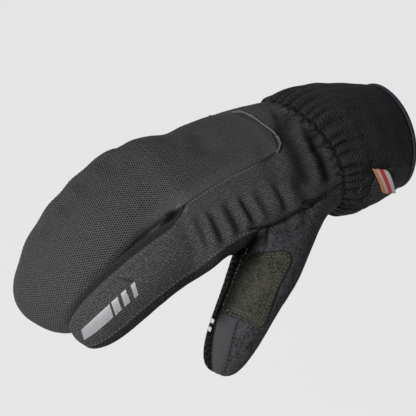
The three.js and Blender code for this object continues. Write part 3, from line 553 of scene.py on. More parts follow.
def unwrap(piece, grain):
    """Lays the mesh flat in metres, with u along the grain."""
    mesh = piece.data
    mesh.uv_layers.new(name="cloth")
    bpy.ops.object.select_all(action="DESELECT")
    bpy.context.view_layer.objects.active = piece
    piece.select_set(True)
    bpy.ops.object.mode_set(mode="EDIT")
    bpy.ops.mesh.select_all(action="SELECT")
    bpy.ops.uv.unwrap(method="ANGLE_BASED", margin=0.0)
    bpy.ops.object.mode_set(mode="OBJECT")
    layer = mesh.uv_layers["cloth"].uv
    flat = np.array([tuple(item.vector) for item in layer])
    points = coordinates(mesh)
    slope = np.zeros(2)
    solid_area = flat_area = 0.0
    for face in mesh.polygons:
        if face.material_index:
            continue
        loops = list(face.loop_indices)
        uv = flat[loops]
        xyz = points[list(face.vertices)]
        rolled = np.roll(uv, -1, axis=0)
        flat_area += abs(np.sum(uv[:, 0] * rolled[:, 1] - uv[:, 1] * rolled[:, 0])) / 2
        solid_area += face.area
        rise = (xyz - xyz.mean(0)) @ np.array(grain)
        uphill, *_ = np.linalg.lstsq(uv - uv.mean(0), rise, rcond=None)
        slope += uphill * face.area
    scale = math.sqrt(solid_area / max(flat_area, 1e-12))
    turn = -math.atan2(slope[1], slope[0])
    c, s = math.cos(turn) * scale, math.sin(turn) * scale
    turned = flat @ np.array([[c, s], [-s, c]])
    for item, value in zip(layer, turned):
        item.vector = value


def subdivided(piece, levels):
    """Rounds the piece off and applies it."""
    modifier = piece.modifiers.new("smooth", "SUBSURF")
    modifier.levels = modifier.render_levels = levels
    modifier.boundary_smooth = "PRESERVE_CORNERS"
    graph = bpy.context.evaluated_depsgraph_get()
    mesh = bpy.data.meshes.new_from_object(piece.evaluated_get(graph))
    piece.modifiers.clear()
    old = piece.data
    piece.data = mesh
    bpy.data.meshes.remove(old)
    piece.data.name = piece.name
    piece.data.shade_smooth()


def rim_loops(mesh):
    """Closed runs of vertices along the border of the outer faces, with the way inwards at each."""
    count = {}
    inside = {}
    for face in mesh.polygons:
        if face.material_index:
            continue
        corners = list(face.vertices)
        for a, b in zip(corners, corners[1:] + corners[:1]):
            count[(a, b)] = face.index
    nexts = {a: b for (a, b) in count if (b, a) not in count}
    for (a, b), face in count.items():
        if (b, a) not in count:
            inside[a] = face
    loops = []
    while nexts:
        start = next(iter(nexts))
        run = [start]
        at = nexts.pop(start)
        while at in nexts:
            run.append(at)
            at = nexts.pop(at)
        if len(run) > SHORTEST_RIM:
            loops.append([(v, mesh.polygons[inside[v]].center.copy()) for v in run])
    return loops


def tree_of(points):
    tree = KDTree(len(points))
    for i, p in enumerate(points):
        tree.insert(p, i)
    tree.balance()
    return tree


def seam_distance(mesh, loops):
    """Millimetres from each vertex to the rim, kept as an attribute."""
    rim = [mesh.vertices[v].co for loop in loops for v, _ in loop]
    tree = tree_of(rim)
    away = np.array([tree.find(v.co)[2] for v in mesh.vertices]) / MM
    keep(mesh, "seam", away)
    return away


def outer_share(mesh):
    """1 at vertices of the outer faces and 0 elsewhere."""
    share = np.zeros(len(mesh.vertices))
    for face in mesh.polygons:
        if face.material_index == 0:
            share[list(face.vertices)] = 1
    return share


def lumps(points, size, seed):
    """Smooth noise from -1 to 1 at each point."""
    shift = Vector((seed, 2 * seed, -seed))
    return np.array([noise.noise(Vector(p) / size + shift) for p in points])


# Panels of the hand

FORWARD = (-1, 0, 0)
INDEX_GRAIN = (-0.97, -0.05, -0.24)
THUMB_GRAIN = (-0.63, -0.385, -0.674)


def panel(cloth, grain, levels, crown, draw, reach, puckered=False):
    """How a panel is made: its cloth and grain, how often it is subdivided, how far it crowns between its
    seams, how deep and how wide its seams are drawn in (millimetres), and whether the wrist puckers it."""
    return {
        "cloth": cloth,
        "grain": grain,
        "levels": levels,
        "crown": crown,
        "draw": draw,
        "reach": reach,
        "puckered": puckered,
    }


PANELS = {
    "mitt_back": panel("mesh", FORWARD, levels=3, crown=0.9, draw=0.5, reach=1.8),
    "hand_back": panel("rib", INDEX_GRAIN, levels=3, crown=0.7, draw=0.4, reach=1.4, puckered=True),
    "palm": panel("palm", FORWARD, levels=2, crown=0.4, draw=0.6, reach=2.2),
    "finger_gusset": panel("gusset", FORWARD, levels=2, crown=0.2, draw=0.4, reach=1.6),
    "index_side": panel("side", INDEX_GRAIN, levels=3, crown=0.5, draw=0.7, reach=1.8),
    "thumb_back": panel("thumb", THUMB_GRAIN, levels=3, crown=0.0, draw=0.5, reach=1.5),
    "thumb_palm": panel("grip", THUMB_GRAIN, levels=2, crown=0.2, draw=0.5, reach=1.5),
    "thumb_touch_panel": panel("knit", THUMB_GRAIN, levels=3, crown=0.3, draw=0.5, reach=1.2),
}
CROWN_REACH = 9  # millimetres from a seam within which a panel rises to its crown
LUMP_SIZES = (14 * MM, 5 * MM)

# Folds of the hand's cloth

CARRIERS = ("mitt_back", "hand_back", "index_side", "finger_gusset", "thumb_back", "thumb_palm", "palm")


def fold(*through, width, depth, shade=0, on=CARRIERS):
    """A fold or ridge of the worn cloth: the pixels of the photograph that it runs through, its half width
    and depth in millimetres (a ridge is positive), how much painted shade it lays on the cloth, and the
    panels that it may lie on."""
    return {"through": through, "width": width * MM, "depth": depth * MM, "shade": shade, "on": on}


FOLDS = [
    # knuckle of the index finger
    fold((180, 217), (190, 238), (198, 259), width=3.8, depth=-1.2, shade=0.06),
    fold((189, 215), (198, 236), (205, 255), width=3.1, depth=0.9),
    fold((195, 212), (204, 232), (211, 251), width=3.0, depth=-2.0, shade=0.13),
    fold((203, 214), (211, 234), (217, 249), width=2.9, depth=1.4),
    fold((210, 208), (219, 227), (227, 244), width=3.1, depth=-2.1, shade=0.13),
    fold((217, 207), (226, 224), (234, 240), width=2.8, depth=1.6),
    fold((225, 199), (235, 216), (244, 234), width=3.0, depth=-2.2, shade=0.13),
    fold((233, 197), (242, 213), (250, 229), width=2.7, depth=1.4),
    fold((240, 196), (250, 211), (258, 226), width=2.7, depth=-2.3, shade=0.14),
    fold((248, 192), (257, 208), (265, 222), width=2.9, depth=1.6),
    fold((256, 189), (265, 204), (273, 219), width=3.1, depth=-1.2, shade=0.08),
    fold((267, 182), (275, 198), (283, 213), width=3.6, depth=1.2),
    fold((275, 181), (283, 198), (291, 214), width=3.4, depth=-1.9, shade=0.13),
    fold((285, 179), (292, 195), (299, 209), width=3.6, depth=1.1),
    # wrist, on the hand side of the gathers
    fold((270, 98), (278, 114), (284, 132), width=3.6, depth=-1.5, shade=0.3),
    fold((287, 106), (286, 133), (299, 158), (309, 188), width=5.5, depth=-2.8, shade=0.75),
    fold((296, 110), (299, 136), (310, 158), (320, 186), width=3.6, depth=1.8),
    fold((309, 118), (314, 143), (323, 160), (330, 184), width=3.8, depth=-2.6, shade=0.75),
    fold((294, 170), (305, 194), (313, 212), width=4.6, depth=-1.6, shade=0.3),
    fold((260, 142), (272, 168), (281, 190), width=6.0, depth=-1.3, shade=0.15),
    # outer edge of the lobe
    fold((97, 146), (106, 160), (116, 174), width=6.5, depth=-2.8),
    fold((72, 167), (82, 181), (93, 193), width=6.5, depth=-2.8),
    fold((48, 187), (60, 200), (72, 211), width=6.5, depth=-2.8),
    fold((26, 211), (40, 223), (53, 231), width=6.5, depth=-2.4),
    fold((197, 125), (203, 141), (211, 156), width=8.0, depth=-2.8),
    # inner edge of the lobe, and the gusset strip and the slit below it; painted shade darkens the slit
    # and the fork
    fold((176, 205), (158, 215), (138, 228), (104, 263), (83, 282), (62, 318),
         width=1.8, depth=0.8),
    fold((174, 211), (160, 222), (138, 240), (109, 271), (88, 292), (72, 318),
         on=("mitt_back",), width=1.3, depth=-1.0, shade=0.8),
    fold((180, 209), (170, 217), (150, 236), (131, 255), (103, 285), (84, 307), (72, 328),
         on=("mitt_back",), width=4.5, depth=-0.8, shade=1.0),
    fold((189, 202), (182, 206), (174, 213), (162, 224), (150, 236),
         on=("finger_gusset",), width=3.0, depth=0, shade=1.0),
    fold((190, 202), (181, 208), (170, 215), (160, 225),
         on=("palm",), width=9.0, depth=0, shade=1.0),
    fold((178, 203), (158, 206), (128, 218), width=5.0, depth=-1.2, shade=0.05),
    # short seam across the index finger's edge
    fold((117, 277), (127, 280), (137, 282), width=0.9, depth=-0.7, shade=0.6),
    # thumb
    fold((314, 202), (303, 226), width=3.6, depth=-1.3, shade=0.15),
    fold((284, 222), (298, 244), width=3.0, depth=-1.3, shade=0.1),
    fold((300, 262), (290, 300), (276, 330), width=3.5, depth=-0.9),
    fold((262, 335), (248, 352), width=3.0, depth=-0.9),
    fold((274, 223), (268, 231), (266.5, 240), (266.5, 252), width=1.2, depth=-1.1, shade=0.9),
    fold((244, 230), (258, 228), (272, 226.5), (287, 218.5), (310, 204.5), (331, 190),
         width=1.4, depth=-0.7, shade=0.9),
    # the web between the thumb and the palm: a ridge, darkened with painted shade
    fold((246, 244), (241, 254), (237, 264), (234, 280),
         on=("thumb_palm",), width=7.0, depth=2.0, shade=1.0),
    # painted shade at the root of the thumb and on the side of the patch below it
    fold((268, 222), (256, 238), (246, 254), (236, 272),
         on=("thumb_back", "thumb_palm"), width=7.0, depth=0, shade=1.0),
    fold((250, 246), (239, 266), (229, 288), (221, 306), (214, 322),
         on=("thumb_back", "thumb_palm"), width=7.0, depth=0, shade=0.97),
]
FOLD_END = 7 * MM  # a fold dies out over this length
LONGEST_JUMP = 9 * MM  # a line that jumps farther has left the panel it was on
PIXEL_STEP = 5  # a fold is followed in steps of this many pixels


def skin_of(made, nodes):
    """A tree over the outer faces of several panels."""
    vertices = []
    faces = []
    for node in nodes:
        mesh = made[node][0].data
        base = len(vertices)
        vertices += [v.co.copy() for v in mesh.vertices]
        faces += [tuple(base + v for v in p.vertices) for p in mesh.polygons if p.material_index == 0]
    return BVHTree.FromPolygons(vertices, faces)


def filled_in(corners, step):
    """Pixels along a line in short steps, up to but without its last corner."""
    pixels = []
    for (x0, y0), (x1, y1) in zip(corners, corners[1:]):
        count = max(int(math.hypot(x1 - x0, y1 - y0) / step), 1)
        pixels += [(x0 + (x1 - x0) * i / count, y0 + (y1 - y0) * i / count) for i in range(count)]
    return pixels


def between_pixels(through):
    """The pixels of a line, close together."""
    return filled_in(through, PIXEL_STEP) + [through[-1]]


def drawn_line(skin, through):
    """Where the photograph's rays through a line of pixels meet the skin: its longest unbroken run."""
    hits = [skin.ray_cast(camera_place, photo_ray(x, y))[0] for x, y in between_pixels(through)]
    hits = [np.array(h) for h in hits if h is not None]
    runs = [[]]
    for hit in hits:
        if runs[-1] and np.linalg.norm(hit - runs[-1][-1]) > LONGEST_JUMP:
            runs.append([])
        runs[-1].append(hit)
    return np.array(max(runs, key=len))


def fold_lines(made):
    """Each fold's points on the cloth, with its half width, its depth and its painted shade."""
    skins = {}
    lines = []
    for row in FOLDS:
        nodes = row["on"]
        if nodes not in skins:
            skins[nodes] = skin_of(made, nodes)
        line = drawn_line(skins[nodes], row["through"])
        if len(line) > 1:
            lines.append((line, row["width"], row["depth"], row["shade"]))
    return lines


def fold_effect(points, lines):
    """How far the folds move each point and how much painted shade they lay on it; a fold dies out towards
    its ends.
    """
    lift = np.zeros(len(points))
    shade = np.zeros(len(points))
    for line, width, depth, dark in lines:
        best = np.full(len(points), np.inf)
        place = np.zeros(len(points))
        steps = np.linalg.norm(np.diff(line, axis=0), axis=1) + 1e-9
        total = steps.sum()
        run = 0.0
        for a, b, step in zip(line[:-1], line[1:], steps):
            t = np.clip((points - a) @ (b - a) / step**2, 0, 1)
            away = np.linalg.norm(points - (a + t[:, None] * (b - a)), axis=1)
            closer = away < best
            best[closer] = away[closer]
            place[closer] = (run + t[closer] * step) / total
            run += step
        ends = np.clip(np.minimum(place, 1 - place) * total / (FOLD_END + 1e-9), 0, 1)
        fade = np.sin(np.pi / 2 * ends) * np.exp(-((best / width) ** 2))
        lift += depth * fade
        shade = np.maximum(shade, dark * fade)
    return lift, shade


# Puckers beside the wrist seam, on the hand
PUCKERS = 38
PUCKER_DEPTH = 3.0 * MM
PUCKER_REACH = 8 * MM


def pucker_effect(points):
    """Short puckers that the gathered seam draws into the hand's cloth: how far they move it, and the
    painted shade in their valleys.
    """
    out = points - np.array(WRIST)
    reach = -(out @ np.array(WRIST_AXIS))
    _, side, up = cuff_frame(0)
    turn = np.arctan2(out @ np.array(up), out @ np.array(side)) / (2 * np.pi) * PUCKERS
    wander = 0.3 * np.sin(turn * 0.7) + 0.25 * np.sin(turn * 1.9 + 1)
    wave = np.abs(np.sin(np.pi * (turn + wander))) ** 0.6
    length = PUCKER_REACH * (1 + 0.5 * np.sin(turn * 1.3 + 2))
    near = np.exp(-np.clip(reach, 0, None) / length)
    return PUCKER_DEPTH * (wave - 0.65) * near, 1.2 * (1 - wave) * near


def smooth_panel(node, row):
    """A panel's smooth cloth and its rim."""
    piece = link(node + "_cloth", coarse_copy(node), row["cloth"], "lining")
    unwrap(piece, row["grain"])
    subdivided(piece, row["levels"])
    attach(piece, ROOT)
    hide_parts(node)
    return piece, rim_loops(piece.data)


def keep_shade(mesh, shade):
    keep(mesh, "shade", np.clip(shade, 0, 1))


def pad_panel(piece, loops, row, seed, lines):
    """Pads the cloth between its seams, draws it in along them and folds it; keeps the painted shade of
    its folds and puckers.
    """
    mesh = piece.data
    away = seam_distance(mesh, loops)
    points = coordinates(mesh)
    large, small = LUMP_SIZES
    lift = row["crown"] * (1 - np.exp(-away / CROWN_REACH))
    lift -= row["draw"] * np.exp(-((away / row["reach"]) ** 2))
    lift += 0.35 * row["crown"] * lumps(points, large, seed) + 0.12 * lumps(points, small, seed + 3)
    folded, shade = fold_effect(points, lines)
    if row["puckered"]:
        puckered, dark = pucker_effect(points)
        folded += puckered
        shade = np.maximum(shade, dark)
    keep_shade(mesh, shade)
    outer = outer_share(mesh)
    lift = lift * MM * outer + folded * (2 * outer - 1)  # the inner faces follow the outer ones
    set_coordinates(mesh, points + normals(mesh) * lift[:, None])


def add_panels():
    made = {node: smooth_panel(node, row) for node, row in PANELS.items()}
    lines = fold_lines(made)
    for seed, (node, row) in enumerate(PANELS.items()):
        pad_panel(*made[node], row, seed, lines)
    return made


# Touch patch: its outline in the photograph, from its upper left corner round by the right
PATCH_OUTLINE = (
    (250, 254), (257, 252.4), (271, 251.2), (284, 250.6), (289, 252.4), (291.8, 256.5), (291.4, 263),
    (286, 274), (278.8, 288), (272, 307), (266.5, 322), (263.5, 326.6), (258.3, 327.6), (250, 321.5),
    (240, 316.5), (229.6, 312.5), (216, 312.5), (221, 298), (229, 281), (239, 266),
)
# Painted shade along the side of the patch that turns under the hand: the pixels it follows, and how far
# it reaches
PATCH_SHADED_SIDE = ((256, 248), (245, 261), (235, 277), (226, 296), (213, 322))
PATCH_SHADE_REACH = 13.5  # pixels
PATCH_GRID = 1.5  # pixels
PATCH_THICKNESS = 0.9 * MM
PATCH_ROUND = 1.1 * MM  # its edge is rounded within this
PATCH_GROOVE = 0.6 * MM  # half the width of a stitched groove
PATCH_SINK = 0.4 * MM  # its underside below the thumb's cloth
PATCH_STITCHES = (2.4, 5.2)  # pixels from the outline
PATCH_STITCH_LENGTH = 3.4  # pixels
PATCH_STITCH_SHOWN = (0.12, 0.8)


def closed_pixels(outline, step):
    """The pixels of an outline, close together."""
    return filled_in(outline + outline[:1], step)


def inset(pixels, distance):
    """A closed line of pixels moved inwards."""
    ring = np.array(pixels)
    tangent = np.roll(ring, -2, axis=0) - np.roll(ring, 2, axis=0)
    tangent /= np.linalg.norm(tangent, axis=1)[:, None]
    return ring + np.column_stack([-tangent[:, 1], tangent[:, 0]]) * distance


def pixel_distance(pixels, line):
    """How far each pixel is from the nearest of a line of pixels."""
    tree = tree_of([Vector((*p, 0)) for p in line])
    return np.array([tree.find(Vector((*p, 0)))[2] for p in pixels])


def patch_net(rim):
    """The patch's outline filled with small triangles: their pixels and their corners."""
    (left, high), (right, low) = np.min(rim, axis=0), np.max(rim, axis=0)
    columns = np.arange(left, right, PATCH_GRID)
    rows = np.arange(high, low, PATCH_GRID)
    pixels = [Vector(p) for p in rim + [(x, y) for x in columns for y in rows]]
    edges = [(i, (i + 1) % len(rim)) for i in range(len(rim))]
    flat, _, faces, *_ = delaunay_2d_cdt(pixels, edges, [], 1, 0.3)
    used = sorted({v for face in faces for v in face})
    index = {v: i for i, v in enumerate(used)}
    return [flat[v] for v in used], [tuple(index[v] for v in face) for face in faces]


def add_patch(made):
    """The olive patch, laid on the thumb within its outline."""
    skin = skin_of(made, ("thumb_back", "thumb_palm", "thumb_touch_panel"))
    rim = closed_pixels(PATCH_OUTLINE, PATCH_GRID)
    pixels, upper = patch_net(rim)
    away = pixel_distance(pixels, rim) * PIXEL
    plump = 1 - 0.6 * np.exp(-((away / PATCH_ROUND) ** 2))
    for row in PATCH_STITCHES:
        plump -= 0.25 * np.exp(-(((away - row * PIXEL) / PATCH_GROOVE) ** 2))
    top = []
    bottom = []
    for pixel, full in zip(pixels, plump):
        place, normal, _, _ = skin.ray_cast(camera_place, photo_ray(*pixel))
        top.append(place + normal * PATCH_THICKNESS * full)
        bottom.append(place - normal * PATCH_SINK)
    mesh = closed_mesh("thumb_patch_cloth", top + bottom, slab_faces(upper, len(pixels)))
    keep(mesh, "seam", np.tile(away / MM, 2))
    dark = pixel_distance(pixels, between_pixels(PATCH_SHADED_SIDE))
    # painted shade along the patch's side
    keep_shade(mesh, np.tile(0.97 * np.exp(-((dark / PATCH_SHADE_REACH) ** 2)), 2))
    piece = link("thumb_patch_cloth", mesh, "patch")
    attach(piece, ROOT)
    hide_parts("thumb_patch")
    add_patch_stitching(surface_of(mesh))


def add_patch_stitching(surface):
    """Two rows of stitches along the patch's outline, left out where painted shade darkens its side."""
    shaded_side = between_pixels(PATCH_SHADED_SIDE)
    start, end = PATCH_STITCH_SHOWN
    threads = []
    for row in PATCH_STITCHES:
        ring = inset(closed_pixels(PATCH_OUTLINE, PATCH_STITCH_LENGTH), row)
        hits = [surface.ray_cast(camera_place, photo_ray(x, y))[:2] for x, y in ring]
        hidden = pixel_distance(ring, shaded_side) < 0.7 * PATCH_SHADE_REACH
        for (a, normal), (b, _), dark in zip(hits, hits[1:] + hits[:1], hidden):
            if a is not None and b is not None and not dark:
                threads.append((a.lerp(b, start), a.lerp(b, end), normal, STITCH_RADIUS))
    piece = link("patch_stitching", stitch_mesh(threads), "olive_thread")
    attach(piece, ROOT)


# Stitching


def smooth_run(points, rounds=2):
    """A line of points with its small zigzags taken out."""
    points = np.array(points)
    for _ in range(rounds):
        inner = (points[:-2] + 2 * points[1:-1] + points[2:]) / 4
        points[1:-1] = inner
    return points


def resample(points, pitch):
    """The same line in even steps."""
    points = np.array(points)
    steps = np.linalg.norm(np.diff(points, axis=0), axis=1)
    run = np.concatenate([[0], np.cumsum(steps)])
    count = max(int(run[-1] / pitch), 2)
    at = np.linspace(0, run[-1], count)
    return np.column_stack([np.interp(at, run, points[:, i]) for i in range(3)])


WIDEST_SEAM = 4 * MM
SHORTEST_RUN = 12  # vertices


def flagged_runs(loop, flags):
    """Stretches of a closed loop whose flags are set."""
    start = next((i for i, flag in enumerate(flags) if not flag), 0)
    runs = [[]]
    for item, flag in zip(loop[start:] + loop[:start], flags[start:] + flags[:start]):
        if flag:
            runs[-1].append(item)
        elif runs[-1]:
            runs.append([])
    return [run for run in runs if len(run) >= SHORTEST_RUN]


def seam_runs(made, panel, neighbour):
    """Stretches of a panel's rim that lie beside a neighbour, each as rim points and ways inwards."""
    mesh = made[panel][0].data
    others = {}
    for name, (piece, loops) in made.items():
        if name != panel:
            others[name] = tree_of([piece.data.vertices[v].co for loop in loops for v, _ in loop])
    runs = []
    for loop in made[panel][1]:
        beside = []
        for v, _ in loop:
            near = {name: tree.find(mesh.vertices[v].co)[2] for name, tree in others.items()}
            best = min(near, key=near.get)
            beside.append(best == neighbour and near[best] < WIDEST_SEAM)
        for run in flagged_runs(loop, beside):
            rim = [np.array(mesh.vertices[v].co) for v, _ in run]
            ways = [np.array(middle) - point for (_, middle), point in zip(run, rim)]
            runs.append((smooth_run(rim), smooth_run(ways)))
    return runs


def offset_path(surface, rim, inward, distance, pitch):
    """Points on the panel at a distance from its rim, with the surface's normal at each."""
    tangent = np.gradient(rim, axis=0)
    tangent /= np.linalg.norm(tangent, axis=1)[:, None] + 1e-12
    way = inward - (inward * tangent).sum(1)[:, None] * tangent
    way /= np.linalg.norm(way, axis=1)[:, None] + 1e-12
    moved = resample(smooth_run(rim + way * distance, 4), pitch)
    out = []
    for p in moved:
        place, normal, _, _ = surface.find_nearest(Vector(p))
        if place is not None:
            out.append((place, normal))
    return out


def ring(middle, across, up, sides):
    """Points round an oval with these half axes."""
    turns = [2 * math.pi * k / sides for k in range(sides)]
    return [middle + across * math.cos(turn) + up * math.sin(turn) for turn in turns]


SHORTEST_STITCH = 0.4 * MM
STITCH_RINGS = ((0.14, 0.8), (0.5, 1.0), (0.86, 0.8))  # shares of the length and of the radius
THREAD_RISE = 0.25  # radii
THREAD_FLATNESS = 0.8


def stitch_mesh(threads):
    """Small closed threads, each from a to b with a normal, joined into one mesh."""
    vertices = []
    faces = []
    sides = 5
    for a, b, normal, radius in threads:
        if (b - a).length < SHORTEST_STITCH:
            continue
        heading = (b - a).normalized()
        side = heading.cross(normal).normalized()
        up = side.cross(heading)
        base = len(vertices)
        vertices.append(a)
        for share, grow in STITCH_RINGS:
            middle = a.lerp(b, share) + up * radius * THREAD_RISE
            half = radius * grow
            vertices += ring(middle, side * half, up * half * THREAD_FLATNESS, sides)
        vertices.append(b)
        last = base + 1 + 3 * sides
        for k in range(sides):
            n = (k + 1) % sides
            faces.append((base, base + 1 + n, base + 1 + k))
            faces.append((last, last - sides + k, last - sides + n))
            for i in range(2):
                r = base + 1 + i * sides
                faces.append((r + k, r + n, r + sides + n, r + sides + k))
    mesh = bpy.data.meshes.new("stitching")
    mesh.from_pydata(vertices, [], faces)
    mesh.update()
    return mesh


STITCH_PITCH = 2.7 * MM
STITCH_SHOWN = (0.12, 0.84)  # from where to where the thread of a stitch lies on top
LONGEST_STITCH = 1.8 * STITCH_PITCH
STITCH_RADIUS = 0.3 * MM
BAR_LENGTH = 1.8 * MM
BAR_PITCH = 2.2 * MM
BAR_LIFT = 0.15 * MM
LONGEST_BAR = 12 * MM
# Straight stitching beside a seam: its panel, the panel beyond the seam, and how far from the seam (mm)
STITCH_ROWS = [
    {"panel": "hand_back", "beside": "finger_gusset", "away": (1.6, 4.2)},
    {"panel": "hand_back", "beside": "index_side", "away": (1.4, 3.2)},
    {"panel": "index_side", "beside": "palm", "away": (1.6,)},
    {"panel": "mitt_back", "beside": "palm", "away": (1.6,)},
    {"panel": "thumb_back", "beside": "index_side", "away": (1.6,)},
    {"panel": "thumb_back", "beside": "thumb_palm", "away": (1.3,)},
    {"panel": "thumb_back", "beside": "thumb_touch_panel", "away": (1.2,)},
]
# The bar tack in the fork of the lobe and the index finger: the ends of its threads in the photograph
BAR_TACK = (
    ((175.5, 208.5), (180.5, 203)), ((177, 210.5), (182.5, 204)), ((179, 212), (184.5, 205)),
    ((181.5, 213), (186.5, 206)), ((184, 213), (188.5, 207)),
)
BAR_TACK_RADIUS = 0.38 * MM
# Short stitches square to a seam
BAR_ROWS = [
    {"panel": "hand_back", "beside": "mitt_back", "away": 1.4},
]

ROLLED_SEAMS = (("mitt_back", "hand_back"),)
ROLL_STEP = 1.5 * MM
ROLL_RADIUS = 0.75 * MM
ROLL_SINK = 0.9 * MM
ROLL_SPARE = 0.3 * MM


def tube_faces(base, rings, sides):
    """The faces of a closed tube whose rings start at vertex base."""
    faces = []
    for i in range(rings - 1):
        for k in range(sides):
            a = base + i * sides + k
            b = base + i * sides + (k + 1) % sides
            faces.append((a, b, b + sides, a + sides))
    faces.append(tuple(base + k for k in reversed(range(sides))))
    faces.append(tuple(base + (rings - 1) * sides + k for k in range(sides)))
    return faces


def add_rolled_seams(made):
    """The turned edges that fill the groove of a seam between two panels."""
    sides = 8
    vertices = []
    faces = []
    for panel_name, neighbour in ROLLED_SEAMS:
        beyond = surface_of(made[neighbour][0].data)
        for rim, _ in seam_runs(made, panel_name, neighbour):
            line = resample(rim, ROLL_STEP)
            faces += tube_faces(len(vertices), len(line), sides)
            for p, way in zip(line, np.gradient(line, axis=0)):
                place, normal, _, _ = beyond.find_nearest(Vector(p))
                middle = (Vector(p) + place) / 2 - normal * ROLL_SINK
                heading = Vector(way).normalized()
                side = heading.cross(normal).normalized()
                radius = max(ROLL_RADIUS, (Vector(p) - place).length / 2 + ROLL_SPARE)
                vertices += ring(middle, side * radius, side.cross(heading) * ROLL_RADIUS, sides)
    mesh = bpy.data.meshes.new("rolled_seams")
    mesh.from_pydata(vertices, [], faces)
    piece = link("rolled_seams", mesh, "roll")
    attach(piece, ROOT)


def straight_threads(made, row):
    """The stitches of one or more rows along a seam."""
    start, end = STITCH_SHOWN
    threads = []
    surface = surface_of(made[row["panel"]][0].data)
    for rim, inward in seam_runs(made, row["panel"], row["beside"]):
        for away in row["away"]:
            path = offset_path(surface, rim, inward, away * MM, STITCH_PITCH)
            for (a, normal), (b, _) in zip(path, path[1:]):
                if (b - a).length < LONGEST_STITCH:
                    threads.append((a.lerp(b, start), a.lerp(b, end), normal, STITCH_RADIUS))
    return threads


def bar_threads(made, row):
    """The stitches square to a seam, each to the nearest point of a line farther from the seam."""
    threads = []
    surface = surface_of(made[row["panel"]][0].data)
    for rim, inward in seam_runs(made, row["panel"], row["beside"]):
        near = offset_path(surface, rim, inward, row["away"] * MM - BAR_LENGTH / 2, BAR_PITCH)
        far = offset_path(surface, rim, inward, row["away"] * MM + BAR_LENGTH / 2, BAR_PITCH / 4)
        across = tree_of([place for place, _ in far])
        for place, normal in near:
            end, _, length = across.find(place)
            if length < 2 * BAR_LENGTH:
                lift = normal * BAR_LIFT
                threads.append((place + lift, end + lift, normal, STITCH_RADIUS))
    return threads


def tack_threads(made):
    """The bar tack's threads, from pixel to pixel over the fork."""
    threads = []
    fork = skin_of(made, ("mitt_back", "hand_back"))
    for ends in BAR_TACK:
        (a, normal), (b, _) = [fork.ray_cast(camera_place, photo_ray(*pixel))[:2] for pixel in ends]
        if a is not None and b is not None and (b - a).length < LONGEST_BAR:
            threads.append((a, b, normal, BAR_TACK_RADIUS))
    return threads


def add_stitching(made):
    threads = [thread for row in STITCH_ROWS for thread in straight_threads(made, row)]
    piece = link("stitching", stitch_mesh(threads), "thread")
    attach(piece, ROOT)
    bars = [thread for row in BAR_ROWS for thread in bar_threads(made, row)]
    piece = link("bar_stitching", stitch_mesh(bars + tack_threads(made)), "light_thread")
    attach(piece, ROOT)


# Cuff: its sections, as in the model, from the wrist seam to the rim
CUFF_LENGTH = 64 * MM
CUFF_WIDTH = 82 * MM
CUFF_WALL = 2.2 * MM
RIM_SLANT = 0.14
CUFF_GATHERS = 38
GATHER_DEPTH = 4.4 * MM
WRIST = Vector((-CUFF_LENGTH, 0.01 * CUFF_WIDTH, 0.05 * CUFF_WIDTH))
WRIST_AXIS = Vector((0.965, 0.26, 0)).normalized()
RIM_AXIS = Vector((1, 0.7 * RIM_SLANT, -0.7 * RIM_SLANT)).normalized()
CUFF_ROWS = [
    {"along": 0.0, "width": 1.08, "height": 0.83, "gather": 0.85},
    {"along": 0.08, "width": 1.13, "height": 0.95, "gather": 1.0},
    {"along": 0.24, "width": 1.14, "height": 1.04, "gather": 0.42},
    {"along": 0.46, "width": 1.08, "height": 1.05, "gather": 0.14},
    {"along": 0.72, "width": 0.98, "height": 0.97, "gather": 0.03},
    {"along": 0.96, "width": 0.85, "height": 0.85, "gather": 0.0},
]
CUFF_SQUARE = 2.1
CUFF_START = 340  # degrees
# The seam between the cuff's back and its underside: along the cuff and degrees
CUFF_SEAM = (
    (0.0, 214), (0.1, 207), (0.18, 202), (0.29, 185), (0.35, 173), (0.43, 167), (0.6, 168), (1.0, 176),
)
CUFF_GAP = 0.2  # degrees of each panel left out at a seam


def smooth_table(rows, key, along):
    """A smooth curve through a table's values (Catmull-Rom)."""
    xs = [row["along"] for row in rows]
    ys = [row[key] for row in rows]
    i = min(max(next((n for n, x in enumerate(xs) if x >= along), len(xs) - 1), 1), len(xs) - 1)
    x0, x1 = xs[i - 1], xs[i]
    t = min(max((along - x0) / (x1 - x0), 0), 1)
    before = (ys[i] - ys[max(i - 2, 0)]) / (x1 - xs[max(i - 2, 0)])
    after = (ys[min(i + 1, len(ys) - 1)] - ys[i - 1]) / (xs[min(i + 1, len(xs) - 1)] - x0)
    span = x1 - x0
    h00, h10 = 2 * t**3 - 3 * t**2 + 1, t**3 - 2 * t**2 + t
    h01, h11 = -2 * t**3 + 3 * t**2, t**3 - t**2
    return h00 * ys[i - 1] + h10 * span * before + h01 * ys[i] + h11 * span * after


def cuff_frame(along):
    """The middle of a section of the cuff, its sideways way and its upward way."""
    heading = -WRIST_AXIS.lerp(RIM_AXIS, along).normalized()
    side = heading.cross(Vector((0, 0, 1))).normalized()
    return WRIST * (1 - along), side, side.cross(heading)


def gather(degrees, along):
    """How full the gathers are at an angle and how far they push the cuff out."""
    turn = (CUFF_START - degrees) / 360 * CUFF_GATHERS
    wander = 0.28 * math.sin(turn * 1.7) + 0.2 * math.sin(turn * 0.61 + 2)
    sharp = 0.6 + 0.9 * min(along / 0.3, 1)
    wave = abs(math.sin(math.pi * (turn + wander * (0.6 + along)))) ** sharp
    full = 0.65 + 0.35 * math.sin(turn * 2.3 + 1)
    return wave, (2 * wave - 1.2) * full * smooth_table(CUFF_ROWS, "gather", along)


CUFF_LUMP = 0.9 * MM
CUFF_RIPPLE = 0.25 * MM


